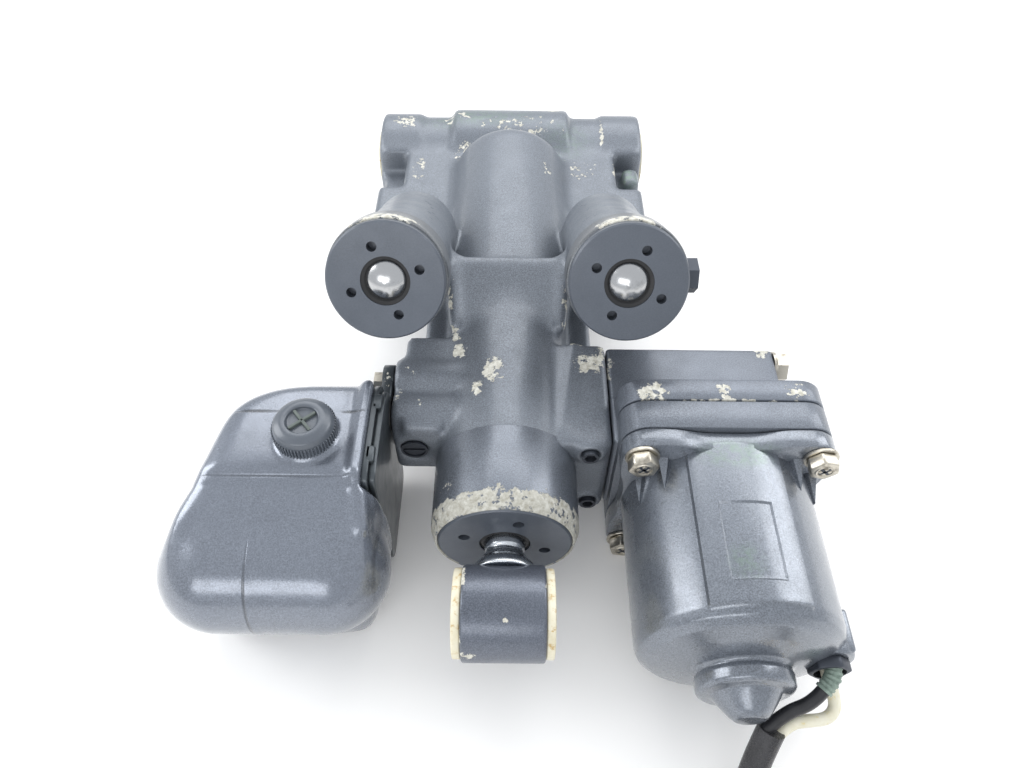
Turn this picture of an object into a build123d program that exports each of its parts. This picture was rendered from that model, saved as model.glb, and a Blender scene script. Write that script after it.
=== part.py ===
from build123d import *
import math
import os

# Hydraulic power trim-and-tilt unit of an outboard boat engine, lying on its back.
# +Z is up, X runs across the unit, and the tilt rod leaves the unit towards -Y.
# The origin is the middle of the unit's bounding box, at the surface that it lies on.
# All sizes are in millimetres.

# ---- fits ----
run_fit = 0.05          # radial clearance of a moving fit
still_fit = 0.05        # gap between still pieces that touch
thread_gap = 0.06       # radial gap of a threaded pair

# ---- tilt cylinder ----
tilt_bore_r = 24.0
tilt_barrel_r = 32.3
tilt_head_r = 33.6
tilt_head_len = 42.0
tilt_cap_r = 30.2
tilt_cap_thread_r = 27.5
tilt_cap_depth = 32.0
tilt_cap_flange = 5.0
tilt_pin_circle_r = 19.0
tilt_stroke = 190.0
stop_gap = 4.0
tilt_piston_len = 22.0
free_piston_len = 13.5
piston_gap = 0.5
tilt_end_wall = 24.0
tilt_rod_r = 9.0
tilt_spigot_r = 7.0
tilt_nut_len = 8.0
seal_r = 11.5
seal_depth = 5.0

# ---- tilt rod eye ----
eye_y = -32.0
eye_r = 20.0
eye_width = 35.2
eye_bore_r = 12.0
eye_bush_bore_r = 9.0
eye_flange_r = 18.6
eye_flange = 3.7
neck_r = 12.4

# ---- trim cylinders ----
trim_half_spacing = 53.2
trim_lean = 30.0
trim_cap_y = 85.1
trim_cap_z = 79.4
trim_head_r = 27.0
trim_barrel_r = 23.2
trim_bore_r = 19.0
trim_cap_r = 26.4
trim_cap_thread_r = 22.0
trim_cap_depth = 26.0
trim_cap_flange = 5.0
trim_pin_circle_r = 16.0
trim_stroke = 62.0
trim_piston_len = 14.0
trim_end_wall = 10.0
trim_rod_r = 8.85
trim_spigot_r = 6.0
trim_rod_proud = 2.0
trim_seal_r = 11.0
pin_hole_r = 2.25
pin_hole_depth = 6.0

# ---- lower pivot ----
pivot_setback = 43.0
pivot_z = -14.0
pivot_tube_r = 27.0
pivot_half_width = 90.0
pivot_bore_r = 14.0
pivot_bush_bore_r = 11.0
pivot_bush_len = 32.0
pivot_flange_r = 18.0
pivot_flange = 2.5
pivot_pad_rise = 5.0
pivot_collar_rise = 2.0
rear_barrel_r = 36.0
rear_barrel_from = 142.0
foot_width = 26.0
foot_depth = 40.0

# ---- casting web, bridge and blocks ----
web_half_width = 84.0
web_front = 212.0
web_top = 8.0
web_bottom = -38.0
notch_inner = 68.5
notch_front = 250.0
notch_back = 286.0
notch_floor = -8.0
bridge_half_width = 31.0
bridge_front = 108.0
bridge_back = 146.0
bridge_top = 40.0
block_inner = 20.0
block_face = 49.0
block_front = 38.0
block_back = 99.0
block_top = 24.0
block_bottom = -32.0

# ---- pump ----
pump_face_gap = 0.3
pump_right = 133.5
pump_top = 22.0
pump_bottom = -36.0
pump_wall = 5.0
cavity_end = 86.0
housing_bolt_r = 4.0
housing_bolt_y = 92.5
gear_teeth = 12
gear_module = 2.0
gear_width = 10.0
gear_tip_r = 13.7
gear_root_r = 9.4
gear_backlash = 0.18
gear_journal_r = 5.0
case_half_height = 18.0
cover_front = 56.5
cover_thick = 4.0
case_end = 82.0
shuttle_r = 4.0
shuttle_len = 18.0
shuttle_travel = 3.0
shuttle_z = -18.5
relief_r = 3.5

# ---- electric motor ----
motor_x = 98.3
motor_z = -5.0
motor_r = 43.5
motor_wall = 3.2
motor_flange_half = 47.0
flange_corner_r = 12.0
motor_flange_y = 26.0
adapter_y = 35.0
plate_y = 50.0
plate_end_y = 62.5
barrel_front_y = -45.0
end_disc_y = -54.0
end_disc_r = 31.0
collar_r = 19.0
collar_y = -62.0
cone_r = 17.0
tip_r = 6.4
tip_y = -73.0
motor_bolt_offset = 38.8
motor_bolt_r = 4.0
motor_bolt_across = 12.0
motor_bolt_head = 6.5
washer_thick = 1.5
washer_r = 7.6
shaft_r = 5.0
core_r = 30.0
magnet_inner_r = 31.5
bearing_r = 13.0
panel_half_angle = 28.0
panel_rise = 1.0

# ---- cable outlet and lead ----
outlet_box = ((108.0, -46.5, -23.0), (143.8, -33.0, 4.0))
gland_x = 134.0
gland_z = -4.5
gland_across = 16.0
gland_len = 5.6
grommet_r = 6.5
wire_d = 5.6
cream_d = 5.2
boot_r = 3.6
sleeve_d = 11.5
coil_r = 66.0
coil_x = 118.0
coil_y = -197.0

# ---- reservoir ----
tank_face = -55.0
tank_cover = 6.0
tank_wall = 3.5
tank_top = 40.0
tank_reach = 146.0
tank_front = -39.0
tank_back = 66.0
filler_x = -86.0
filler_y = 31.0
filler_neck_r = 13.0
filler_thread_r = 9.0
filler_cap_r = 14.0
filler_cap_height = 11.5
filler_pitch = 2.5

# ---- where the unit lies in its frame ----
rest_depth = 50.0       # from the tilt axis down to the surface
pivot_y = (tilt_cap_depth + stop_gap + tilt_stroke + tilt_piston_len + piston_gap
           + free_piston_len + pivot_setback)
tilt_bore_end = pivot_y - pivot_setback
motor_reach = motor_x + motor_flange_half
tilt_x = (tank_reach - motor_reach) / 2
cap_y = -(pivot_y + pivot_tube_r + pivot_pad_rise + tip_y) / 2
tilt_z = rest_depth


def at(x, y, z):
    """A point given from the middle of the tilt cap's face, in the unit's frame."""
    return (tilt_x + x, cap_y + y, tilt_z + z)


def facing(x, y, z):
    """A plane that faces -Y, with its own X along +X and its own Y along +Z."""
    return Plane(origin=at(x, y, z), x_dir=(1, 0, 0), z_dir=(0, -1, 0))


def sideways(x, y, z):
    """A plane that faces +X, with its own X along +Y and its own Y along +Z."""
    return Plane(origin=at(x, y, z), x_dir=(0, 1, 0), z_dir=(1, 0, 0))


def level(x, y, z):
    """A plane that faces +Z."""
    return Plane(origin=at(x, y, z), x_dir=(1, 0, 0), z_dir=(0, 0, 1))


def turning(origin, along):
    """A plane whose own Y runs along a turned piece's axis and whose own X is its radius."""
    axis = Vector(*along).normalized()
    helper = Vector(1, 0, 0) if abs(axis.Z) > 0.9 else Vector(0, 0, 1)
    side = axis.cross(helper).normalized()
    return Plane(origin=origin, x_dir=side, z_dir=side.cross(axis))


def turn(plane, outline, mode=Mode.ADD):
    """Turn a closed outline of (radius, place along the axis) about the plane's own Y."""
    with BuildSketch(plane) as profile:
        with BuildLine():
            Polyline(*outline, close=True)
        make_face()
    revolve(profile.sketch, axis=Axis(plane.origin, plane.y_dir), mode=mode)


def sleeve(plane, outer, inner, start, end, mode=Mode.ADD):
    """Turn a plain ring, or a plain rod where the inner radius is 0."""
    turn(plane, [(inner, start), (outer, start), (outer, end), (inner, end)], mode)


def block(low, high, mode=Mode.ADD):
    """A box between two corners, given from the middle of the tilt cap's face."""
    size = [high[i] - low[i] for i in range(3)]
    middle = [(high[i] + low[i]) / 2 for i in range(3)]
    with BuildSketch(level(middle[0], middle[1], low[2])) as outline:
        Rectangle(size[0], size[1])
    extrude(outline.sketch, amount=size[2], mode=mode)


def drill(plane, radius, places, depth, mode=Mode.SUBTRACT):
    """Round holes, or pegs, at places on a plane, going in behind it."""
    with BuildSketch(plane) as outline:
        with Locations(*places):
            Circle(radius)
    extrude(outline.sketch, amount=-depth, mode=mode)


def around(radius, count, first):
    """Places on a circle, from a first angle in degrees."""
    turns = [math.radians(first + 360 * i / count) for i in range(count)]
    return [(radius * math.cos(a), radius * math.sin(a)) for a in turns]


def dome_middle(radius, height):
    """How far out and how high the middle of a round dome's arc is, from its rim."""
    ball_r = (radius ** 2 + height ** 2) / (2 * height)
    half = math.asin(radius / ball_r) / 2
    return (ball_r * math.sin(half), height - ball_r * (1 - math.cos(half)))


def save(piece, name):
    """Name a finished piece and write it as its own file."""
    piece.label = name
    export_step(piece, f"parts/{name}.step")


os.makedirs("parts", exist_ok=True)

lean = math.radians(trim_lean)
trim_along = (0, math.cos(lean), -math.sin(lean))
tilt_line = turning(at(0, 0, 0), (0, 1, 0))
motor_line = turning(at(motor_x, 0, motor_z), (0, 1, 0))
pivot_line = turning(at(0, pivot_y, pivot_z), (1, 0, 0))
eye_line = turning(at(0, eye_y, 0), (1, 0, 0))
filler_line = turning(at(filler_x, filler_y, tank_top), (0, 0, 1))
sides = {"left": -1, "right": 1}


def trim_line(side):
    """The turning plane of one trim cylinder, from the middle of its cap's face."""
    return turning(at(side * trim_half_spacing, trim_cap_y, trim_cap_z), trim_along)


def trim_cap_plane(side):
    """The plane of one trim cap's face, with the outside in front of it."""
    origin = at(side * trim_half_spacing, trim_cap_y, trim_cap_z)
    return Plane(origin=origin, x_dir=(1, 0, 0), z_dir=[-v for v in trim_along])


trim_bore_end = trim_cap_depth + stop_gap / 4 + trim_stroke + trim_piston_len + stop_gap / 4
boss_x = 26.0

# ---- main casting: three barrels, pivot tube, web, bridge and joint faces ----
boss_low_z = -22.0
tank_bolt_y = 80.0
tank_bolt_z = 14.0
port_y = 61.0
port_z = 14.0
valve_x = -44.0
valve_z = 5.0
valve_r = 6.5
plug_places = ((39.0, 17.0), (41.0, -25.0))
plug_r = 4.0
plug_at = 16.0

with BuildPart() as main_casting:
    sleeve(tilt_line, tilt_barrel_r, 0, 2, tilt_bore_end)
    turn(tilt_line, [(0, rear_barrel_from), (tilt_barrel_r, rear_barrel_from), (rear_barrel_r, rear_barrel_from + 4),
                     (rear_barrel_r, tilt_bore_end), (0, tilt_bore_end)])
    turn(tilt_line, [(0, 0), (tilt_cap_r + 0.8, 0), (tilt_head_r, 6),
                     (tilt_head_r, tilt_head_len), (0, tilt_head_len)])
    with BuildSketch(tilt_line):
        with BuildLine():
            dome_start = (rear_barrel_r, tilt_bore_end)
            dome_end = (0, tilt_bore_end + tilt_end_wall)
            middle_r, middle_h = dome_middle(rear_barrel_r, tilt_end_wall)
            dome_mid = (middle_r, tilt_bore_end + middle_h)
            Line((0, tilt_bore_end), dome_start)
            ThreePointArc(dome_start, dome_mid, dome_end)
            Line(dome_end, (0, tilt_bore_end))
        make_face()
    revolve(axis=Axis(tilt_line.origin, tilt_line.y_dir))
    for side in sides.values():
        turn(trim_line(side), [(0, 0.6), (trim_head_r - 0.6, 0.6), (trim_head_r, 2), (trim_head_r, 20),
                               (trim_barrel_r, 36), (trim_barrel_r, trim_bore_end + trim_end_wall),
                               (0, trim_bore_end + trim_end_wall)])
    sleeve(pivot_line, pivot_tube_r, 0, -pivot_half_width + pivot_flange, pivot_half_width - pivot_flange)
    block((-web_half_width, web_front, web_bottom), (web_half_width, pivot_y, web_top))
    block((-bridge_half_width, bridge_front, -10), (bridge_half_width, bridge_back, bridge_top))
    block((block_inner, block_front, block_bottom), (block_face, block_back, block_top))
    block((-44, block_front + 54, -26), (44, web_front, 10))
    block((-62, 150, -20), (62, web_front + 1, 4))
    for side in sides.values():
        inner = pivot_half_width - pivot_flange - foot_width
        low_x, high_x = sorted((side * inner, side * (inner + foot_width)))
        block((low_x, pivot_y - foot_depth / 2, -rest_depth), (high_x, pivot_y + foot_depth / 2, pivot_z))
    sleeve(turning(at(0, tank_bolt_y, tank_bolt_z), (-1, 0, 0)), 12, 0, boss_x, -tank_face)
    sleeve(turning(at(0, tank_bolt_y, boss_low_z), (-1, 0, 0)), 10, 0, 12, -tank_face)
    sleeve(turning(at(0, port_y, port_z), (-1, 0, 0)), 10, 0, boss_x, -tank_face)
    block((tank_face + 1, 46, -12), (-boss_x + 4, 60, 17))
    drill(facing(0, block_front - 3, 0), 7, plug_places, 3.5, Mode.ADD)
    # raised pad along the back of the pivot tube
    sleeve(pivot_line, pivot_tube_r + pivot_pad_rise, 0, -39, 39)
    for side in sides.values():
        sleeve(turning(at(0, pivot_y, pivot_z), (side, 0, 0)), pivot_tube_r + pivot_collar_rise, 0, 61,
               pivot_half_width - pivot_flange)
    # relief at both ends of the pivot tube
    for side in sides.values():
        low_x, high_x = sorted((side * notch_inner, side * (pivot_half_width + 5)))
        block((low_x, notch_front, notch_floor), (high_x, notch_back - 6, 60), Mode.SUBTRACT)
    # tilt bore with its threaded mouth and the counterbore for the cap's flange
    sleeve(tilt_line, tilt_bore_r, 0, -5, tilt_bore_end, Mode.SUBTRACT)
    sleeve(tilt_line, tilt_cap_thread_r + thread_gap, 0, -5, tilt_cap_depth + 1, Mode.SUBTRACT)
    sleeve(tilt_line, tilt_cap_r + still_fit, 0, -5, tilt_cap_flange + still_fit, Mode.SUBTRACT)
    for side in sides.values():
        line = trim_line(side)
        sleeve(line, trim_bore_r, 0, -5, trim_bore_end, Mode.SUBTRACT)
        sleeve(line, trim_cap_thread_r + thread_gap, 0, -5, trim_cap_depth + 0.5, Mode.SUBTRACT)
        sleeve(line, trim_head_r + 5, 0, -8, trim_cap_flange + still_fit, Mode.SUBTRACT)
    sleeve(pivot_line, pivot_bore_r, 0, -pivot_half_width - 2, pivot_half_width + 2, Mode.SUBTRACT)
    drill(sideways(trim_half_spacing + trim_head_r + 1, trim_cap_y + plug_at * math.cos(lean),
                   trim_cap_z - plug_at * math.sin(lean)), 4 + thread_gap, [(0, 0)], 5)
    # threaded holes for the tank bolts, the port, the release valve, the plugs and the pump bolts
    for z in (tank_bolt_z, boss_low_z):
        sleeve(turning(at(0, tank_bolt_y, z), (-1, 0, 0)), 3 + thread_gap, 0, 36, 60, Mode.SUBTRACT)
    sleeve(turning(at(0, port_y, port_z), (-1, 0, 0)), 4, 0, 34, 60, Mode.SUBTRACT)
    drill(facing(valve_x, 46, valve_z), valve_r, [(0, 0)], 3)
    drill(facing(valve_x, 46, valve_z), 4 + run_fit, [(0, 0)], 12)
    drill(facing(0, block_front - 3, 0), plug_r + thread_gap, plug_places, 12)
    for z in (14, -28):
        sleeve(turning(at(0, housing_bolt_y, z), (1, 0, 0)), housing_bolt_r + thread_gap, 0, 28, 60, Mode.SUBTRACT)
save(main_casting.part, "main_casting")

# ---- lower pivot bushes ----
with BuildPart() as pivot_bushes:
    for side in sides.values():
        outer = pivot_half_width - pivot_flange
        turn(turning(at(0, pivot_y, pivot_z), (side, 0, 0)),
             [(pivot_bush_bore_r, outer - pivot_bush_len), (pivot_bore_r - still_fit, outer - pivot_bush_len),
              (pivot_bore_r - still_fit, outer + still_fit), (pivot_flange_r, outer + still_fit),
              (pivot_flange_r, pivot_half_width), (pivot_bush_bore_r, pivot_half_width)])
save(pivot_bushes.part, "pivot_bushes")

# ---- tilt cap with its seals ----
groove_at = tilt_cap_depth - 8
with BuildPart() as tilt_cap:
    turn(tilt_line, [(tilt_rod_r + run_fit, seal_depth), (seal_r, seal_depth), (seal_r, 0),
                     (tilt_cap_r - 0.8, 0), (tilt_cap_r, 0.8), (tilt_cap_r, tilt_cap_flange),
                     (tilt_cap_thread_r, tilt_cap_flange), (tilt_cap_thread_r, groove_at),
                     (tilt_cap_thread_r - 2.4, groove_at), (tilt_cap_thread_r - 2.4, groove_at + 3.2),
                     (tilt_cap_thread_r, groove_at + 3.2), (tilt_cap_thread_r, tilt_cap_depth),
                     (tilt_rod_r + run_fit, tilt_cap_depth)])
    drill(facing(0, 0, 0), pin_hole_r + 0.35, around(tilt_pin_circle_r, 4, 71.8), pin_hole_depth)
save(tilt_cap.part, "tilt_cap")

# ---- tilt rod: eye, neck, polished rod and spigot ----
piston_start = tilt_bore_end - free_piston_len - piston_gap - tilt_piston_len
piston_end = piston_start + tilt_piston_len
with BuildPart() as tilt_rod:
    turn(tilt_line, [(0, eye_y), (neck_r, eye_y), (neck_r, -13), (neck_r - 0.5, -9), (tilt_rod_r + 0.6, -6),
                     (tilt_rod_r - 0.9, -5), (tilt_rod_r, -3.5), (tilt_rod_r, piston_start),
                     (tilt_spigot_r, piston_start), (tilt_spigot_r, piston_end - 1), (0, piston_end - 1)])
    sleeve(eye_line, eye_r, 0, -eye_width / 2, eye_width / 2)
    sleeve(eye_line, eye_bore_r, 0, -eye_width, eye_width, Mode.SUBTRACT)
save(tilt_rod.part, "tilt_rod")

with BuildPart() as eye_bushes:
    for side in sides.values():
        turn(turning(at(0, eye_y, 0), (side, 0, 0)),
             [(eye_bush_bore_r, 1), (eye_bore_r - still_fit, 1), (eye_bore_r - still_fit, eye_width / 2 + still_fit),
              (eye_flange_r, eye_width / 2 + still_fit), (eye_flange_r, eye_width / 2 + eye_flange - 0.8),
              (eye_flange_r - 0.8, eye_width / 2 + eye_flange), (eye_bush_bore_r, eye_width / 2 + eye_flange)])
save(eye_bushes.part, "eye_bushes")

# ---- tilt piston, its ring and nut, and the free piston behind it ----
ring_start = piston_start + 8
with BuildPart() as tilt_piston:
    piston_r = tilt_bore_r - run_fit
    turn(tilt_line, [(tilt_spigot_r + still_fit, piston_start + still_fit), (piston_r, piston_start + still_fit),
                     (piston_r, ring_start), (piston_r - 3, ring_start), (piston_r - 3, ring_start + 4),
                     (piston_r, ring_start + 4), (piston_r, piston_end), (tilt_spigot_r + 6, piston_end),
                     (tilt_spigot_r + 6, piston_end - tilt_nut_len - 2),
                     (tilt_spigot_r + still_fit, piston_end - tilt_nut_len - 2)])
save(tilt_piston.part, "tilt_piston")

with BuildPart() as tilt_piston_ring:
    sleeve(tilt_line, piston_r, piston_r - 2.95, ring_start + 0.05, ring_start + 3.95)
save(tilt_piston_ring.part, "tilt_piston_ring")

with BuildPart() as tilt_piston_nut:
    with BuildSketch(facing(0, piston_end - tilt_nut_len - 1.9, 0)):
        RegularPolygon(10.5, 6, major_radius=False)
        Circle(tilt_spigot_r + thread_gap, mode=Mode.SUBTRACT)
    extrude(amount=-tilt_nut_len)
save(tilt_piston_nut.part, "tilt_piston_nut")

free_start = piston_end + piston_gap
with BuildPart() as free_piston:
    turn(tilt_line, [(0, free_start + 4), (14, free_start + 4), (14, free_start), (piston_r, free_start),
                     (piston_r, free_start + 5), (piston_r - 2.6, free_start + 5),
                     (piston_r - 2.6, free_start + 8.2), (piston_r, free_start + 8.2),
                     (piston_r, tilt_bore_end - 0.2), (0, tilt_bore_end - 0.2)])
save(free_piston.part, "free_piston")

with BuildPart() as free_piston_o_ring:
    sleeve(tilt_line, piston_r, piston_r - 2.55, free_start + 5.1, free_start + 8.1)
save(free_piston_o_ring.part, "free_piston_o_ring")

# ---- trim caps, seals, rods, pistons and rings ----
pin_first = {"left": 19.0, "right": 65.1}
trim_groove = trim_cap_depth - 7
trim_piston_start = trim_bore_end - stop_gap / 4 - trim_piston_len
trim_ring_start = trim_piston_start + 5

for name, side in sides.items():
    line = trim_line(side)
    with BuildPart() as trim_cap:
        turn(line, [(trim_rod_r + run_fit, seal_depth), (trim_seal_r, seal_depth), (trim_seal_r, 0),
                    (trim_cap_r - 0.7, 0), (trim_cap_r, 0.7), (trim_cap_r, trim_cap_flange),
                    (trim_cap_thread_r, trim_cap_flange), (trim_cap_thread_r, trim_groove),
                    (trim_cap_thread_r - 2.2, trim_groove), (trim_cap_thread_r - 2.2, trim_groove + 3),
                    (trim_cap_thread_r, trim_groove + 3), (trim_cap_thread_r, trim_cap_depth),
                    (trim_rod_r + run_fit, trim_cap_depth)])
        drill(trim_cap_plane(side), pin_hole_r, around(trim_pin_circle_r, 4, pin_first[name]), pin_hole_depth)
    save(trim_cap.part, f"trim_cap_{name}")

    with BuildPart() as trim_rod:
        with BuildSketch(line):
            with BuildLine():
                shoulder = (trim_rod_r, 1.6)
                crown = (0, -trim_rod_proud)
                Polyline(crown, (0, trim_bore_end - 3), (trim_spigot_r, trim_bore_end - 3),
                         (trim_spigot_r, trim_piston_start), (trim_rod_r, trim_piston_start), shoulder)
                middle_r, middle_h = dome_middle(trim_rod_r, trim_rod_proud + 1.6)
                ThreePointArc(shoulder, (middle_r, 1.6 - middle_h), crown)
            make_face()
        revolve(axis=Axis(line.origin, line.y_dir))
    save(trim_rod.part, f"trim_rod_{name}")

    with BuildPart() as trim_piston:
        edge = trim_bore_r - run_fit
        turn(line, [(trim_spigot_r + still_fit, trim_piston_start + still_fit),
                    (edge, trim_piston_start + still_fit), (edge, trim_ring_start),
                    (edge - 2.6, trim_ring_start), (edge - 2.6, trim_ring_start + 3.6),
                    (edge, trim_ring_start + 3.6), (edge, trim_bore_end - stop_gap / 4),
                    (trim_spigot_r + still_fit, trim_bore_end - stop_gap / 4)])
        # its ring, a separate solid in the groove
        sleeve(line, edge, edge - 2.55, trim_ring_start + 0.05, trim_ring_start + 3.55)
    save(trim_piston.part, f"trim_piston_{name}")

with BuildPart() as cap_o_rings:
    sleeve(tilt_line, tilt_cap_thread_r + 0.02, tilt_cap_thread_r - 2.35, groove_at + 0.1, groove_at + 3.1)
    for side in sides.values():
        sleeve(trim_line(side), trim_cap_thread_r + 0.02, trim_cap_thread_r - 2.15,
               trim_groove + 0.1, trim_groove + 2.9)
save(cap_o_rings.part, "cap_o_rings")

with BuildPart() as rod_seals:
    turn(tilt_line, [(tilt_rod_r + run_fit, 0.6), (tilt_rod_r + 0.8, 0.2), (seal_r - still_fit, 0.9),
                     (seal_r - still_fit, seal_depth - still_fit), (tilt_rod_r + run_fit, seal_depth - still_fit)])
    for side in sides.values():
        turn(trim_line(side), [(trim_rod_r + run_fit, 1.9), (trim_rod_r + 0.7, 1.4), (trim_seal_r - still_fit, 0.8),
                               (trim_seal_r - still_fit, seal_depth - still_fit),
                               (trim_rod_r + run_fit, seal_depth - still_fit)])
save(rod_seals.part, "rod_seals")

# ---- gallery plugs, trim barrel plug and the manual release valve ----
with BuildPart() as gallery_plugs:
    drill(facing(0, block_front - 3.4, 0), plug_r, plug_places, 11, Mode.ADD)
    with BuildSketch(facing(0, block_front - 3.4, 0)) as sockets:
        with Locations(*plug_places):
            RegularPolygon(2.5, 6, major_radius=False)
    extrude(sockets.sketch, amount=-3, mode=Mode.SUBTRACT)
save(gallery_plugs.part, "gallery_plugs")

plug_y = trim_cap_y + plug_at * math.cos(lean)
plug_z = trim_cap_z - plug_at * math.sin(lean)
with BuildPart() as trim_barrel_plug:
    plane = sideways(trim_half_spacing + trim_head_r + 0.3, plug_y, plug_z)
    with BuildSketch(plane) as head:
        RegularPolygon(7, 6, major_radius=False)
    extrude(head.sketch, amount=5)
    drill(plane, 4, [(0, 0)], 3, Mode.ADD)
save(trim_barrel_plug.part, "trim_barrel_plug")

with BuildPart() as manual_valve:
    sleeve(turning(at(valve_x, 46, valve_z), (0, 1, 0)), 4, 0, 0.8, 10.5)
    sleeve(turning(at(valve_x, 46, valve_z), (0, 1, 0)), valve_r - 1.2, 0, 0.8, 2.9)
    with BuildSketch(facing(valve_x, 46.8, valve_z)) as slot:
        Rectangle(2 * valve_r, 1.4)
    extrude(slot.sketch, amount=-1.4, mode=Mode.SUBTRACT)
save(manual_valve.part, "manual_valve")

with BuildPart() as valve_circlip:
    sleeve(turning(at(valve_x, 46, valve_z), (0, 1, 0)), valve_r - still_fit, valve_r - 1.1, 0.1, 1.0)
    block((valve_x - 0.8, 45.5, valve_z + 3), (valve_x + 0.8, 48, valve_z + 8), Mode.SUBTRACT)
save(valve_circlip.part, "valve_circlip")

# ---- pump housing: joint plate towards the motor and the box behind it ----


def rounded_square(y, half, corner):
    """The outline of the square plates that close the pump and carry the motor."""
    with BuildSketch(facing(motor_x, y, motor_z)) as outline:
        RectangleRounded(2 * half, 2 * half, corner)
    return outline.sketch


bolt_square = [(motor_bolt_offset * sx, motor_bolt_offset * sz) for sx in (-1, 1) for sz in (-1, 1)]
pump_face = block_face + pump_face_gap
gear_pitch_r = gear_module * gear_teeth / 2
driven_x = motor_x - 2 * gear_pitch_r - 0.06
case_left = driven_x - 17
case_right = motor_x + 17
pocket_start = cover_front + cover_thick
gear_start = pocket_start + run_fit
cavity = ((case_left - 1.5, plate_y - 1, motor_z - 25), (pump_right - pump_wall, cavity_end, motor_z + 22))

with BuildPart() as pump_housing:
    extrude(rounded_square(plate_y + still_fit, motor_flange_half, flange_corner_r),
            amount=-(plate_end_y - plate_y - still_fit))
    block((pump_face, plate_end_y - 0.5, pump_bottom), (pump_right, block_back - 1, pump_top))
    block((pump_face, block_front + 2, pump_bottom + 4), (motor_x - motor_flange_half - 0.2, plate_end_y, block_top))
    block((pump_face, plate_y + still_fit, pump_bottom + 4), (pump_face + 7, plate_end_y, block_top))
    block(*cavity, Mode.SUBTRACT)
    drill(facing(motor_x, plate_y, motor_z), motor_bolt_r - 0.6, bolt_square, 11)
    for z in (14, -28):
        sleeve(turning(at(0, housing_bolt_y, z), (1, 0, 0)), housing_bolt_r + 0.3, 0, 40, 140, Mode.SUBTRACT)
save(pump_housing.part, "pump_housing")


def hex_bolt(plane, radius, length, across, head, mark_r=0):
    """A hexagon-head bolt whose head stands in front of the plane, with a cross recess."""
    with BuildSketch(plane) as shank:
        Circle(radius)
    extrude(shank.sketch, amount=-length)
    with BuildSketch(plane) as hexagon:
        RegularPolygon(across / 2, 6, major_radius=False)
    extrude(hexagon.sketch, amount=head)
    if mark_r:
        with BuildSketch(plane.offset(head)) as recess:
            Rectangle(2 * mark_r, mark_r * 0.45)
            Rectangle(mark_r * 0.45, 2 * mark_r)
        extrude(recess.sketch, amount=-2, mode=Mode.SUBTRACT)


with BuildPart() as housing_bolts:
    for z in (14, -28):
        hex_bolt(sideways(pump_right + 1.6, housing_bolt_y, z), housing_bolt_r, pump_right + 1.6 - 30, 13, 5.5)
        sleeve(turning(at(0, housing_bolt_y, z), (1, 0, 0)), 8, 0, pump_right + still_fit, pump_right + 1.7)
save(housing_bolts.part, "housing_bolts")

# ---- gear pump inside the housing ----
case_z = (motor_z - case_half_height, motor_z + case_half_height)
relief_places = (driven_x + gear_pitch_r, motor_x + 12.5)
shuttle_line = turning(at(0, case_end - 6, shuttle_z), (1, 0, 0))
shuttle_mid = (case_left + case_right) / 2
drive_line = turning(at(motor_x, 0, motor_z), (0, 1, 0))
driven_line = turning(at(driven_x, 0, motor_z), (0, 1, 0))

with BuildPart() as gear_case:
    block((case_left, pocket_start, case_z[0]), (case_right, case_end, case_z[1]))
    for line in (drive_line, driven_line):
        sleeve(line, gear_tip_r + run_fit, 0, pocket_start - 1, pocket_start + gear_width + 2 * run_fit, Mode.SUBTRACT)
        sleeve(line, gear_journal_r + run_fit, 0, pocket_start, case_end - 2, Mode.SUBTRACT)
    sleeve(shuttle_line, shuttle_r + run_fit, 0, case_left + 4, case_right + 1, Mode.SUBTRACT)
    for x in relief_places:
        drill(level(x, case_end - 5, case_z[1]), relief_r + thread_gap, [(0, 0)], 9)
save(gear_case.part, "gear_case")

with BuildPart() as gear_case_cover:
    block((case_left, cover_front, case_z[0]), (case_right, pocket_start - 0.02, case_z[1]))
    for line in (drive_line, driven_line):
        sleeve(line, gear_journal_r + run_fit, 0, cover_front - 1, pocket_start + 1, Mode.SUBTRACT)
save(gear_case_cover.part, "gear_case_cover")

with BuildPart() as relief_valves:
    for x in relief_places:
        drill(level(x, case_end - 5, case_z[1]), relief_r, [(0, 0)], 8.8, Mode.ADD)
        drill(level(x, case_end - 5, case_z[1] + 2.4), relief_r + 1, [(0, 0)], 2.3, Mode.ADD)
save(relief_valves.part, "relief_valves")

with BuildPart() as shuttle_piston:
    half = shuttle_len / 2
    turn(shuttle_line, [(0, shuttle_mid - half), (shuttle_r, shuttle_mid - half), (shuttle_r, shuttle_mid - 3),
                        (shuttle_r - 1, shuttle_mid - 3), (shuttle_r - 1, shuttle_mid + 3),
                        (shuttle_r, shuttle_mid + 3), (shuttle_r, shuttle_mid + half), (0, shuttle_mid + half)])
save(shuttle_piston.part, "shuttle_piston")

with BuildPart() as suction_filter:
    block((case_right + 2, cover_front, motor_z - 20), (case_right + 5, cavity_end - 3, motor_z + 18))
    with BuildSketch(sideways(case_right + 5, (cover_front + cavity_end - 3) / 2, motor_z - 1)) as windows:
        with GridLocations(8, 9, 3, 4):
            Rectangle(6, 7)
    extrude(windows.sketch, amount=-1.6, mode=Mode.SUBTRACT)
save(suction_filter.part, "suction_filter")


def involute(base_r, roll):
    """A point of the involute of a base circle, from its roll angle in radians."""
    return (base_r * (math.cos(roll) + roll * math.sin(roll)), base_r * (math.sin(roll) - roll * math.cos(roll)))


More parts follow.
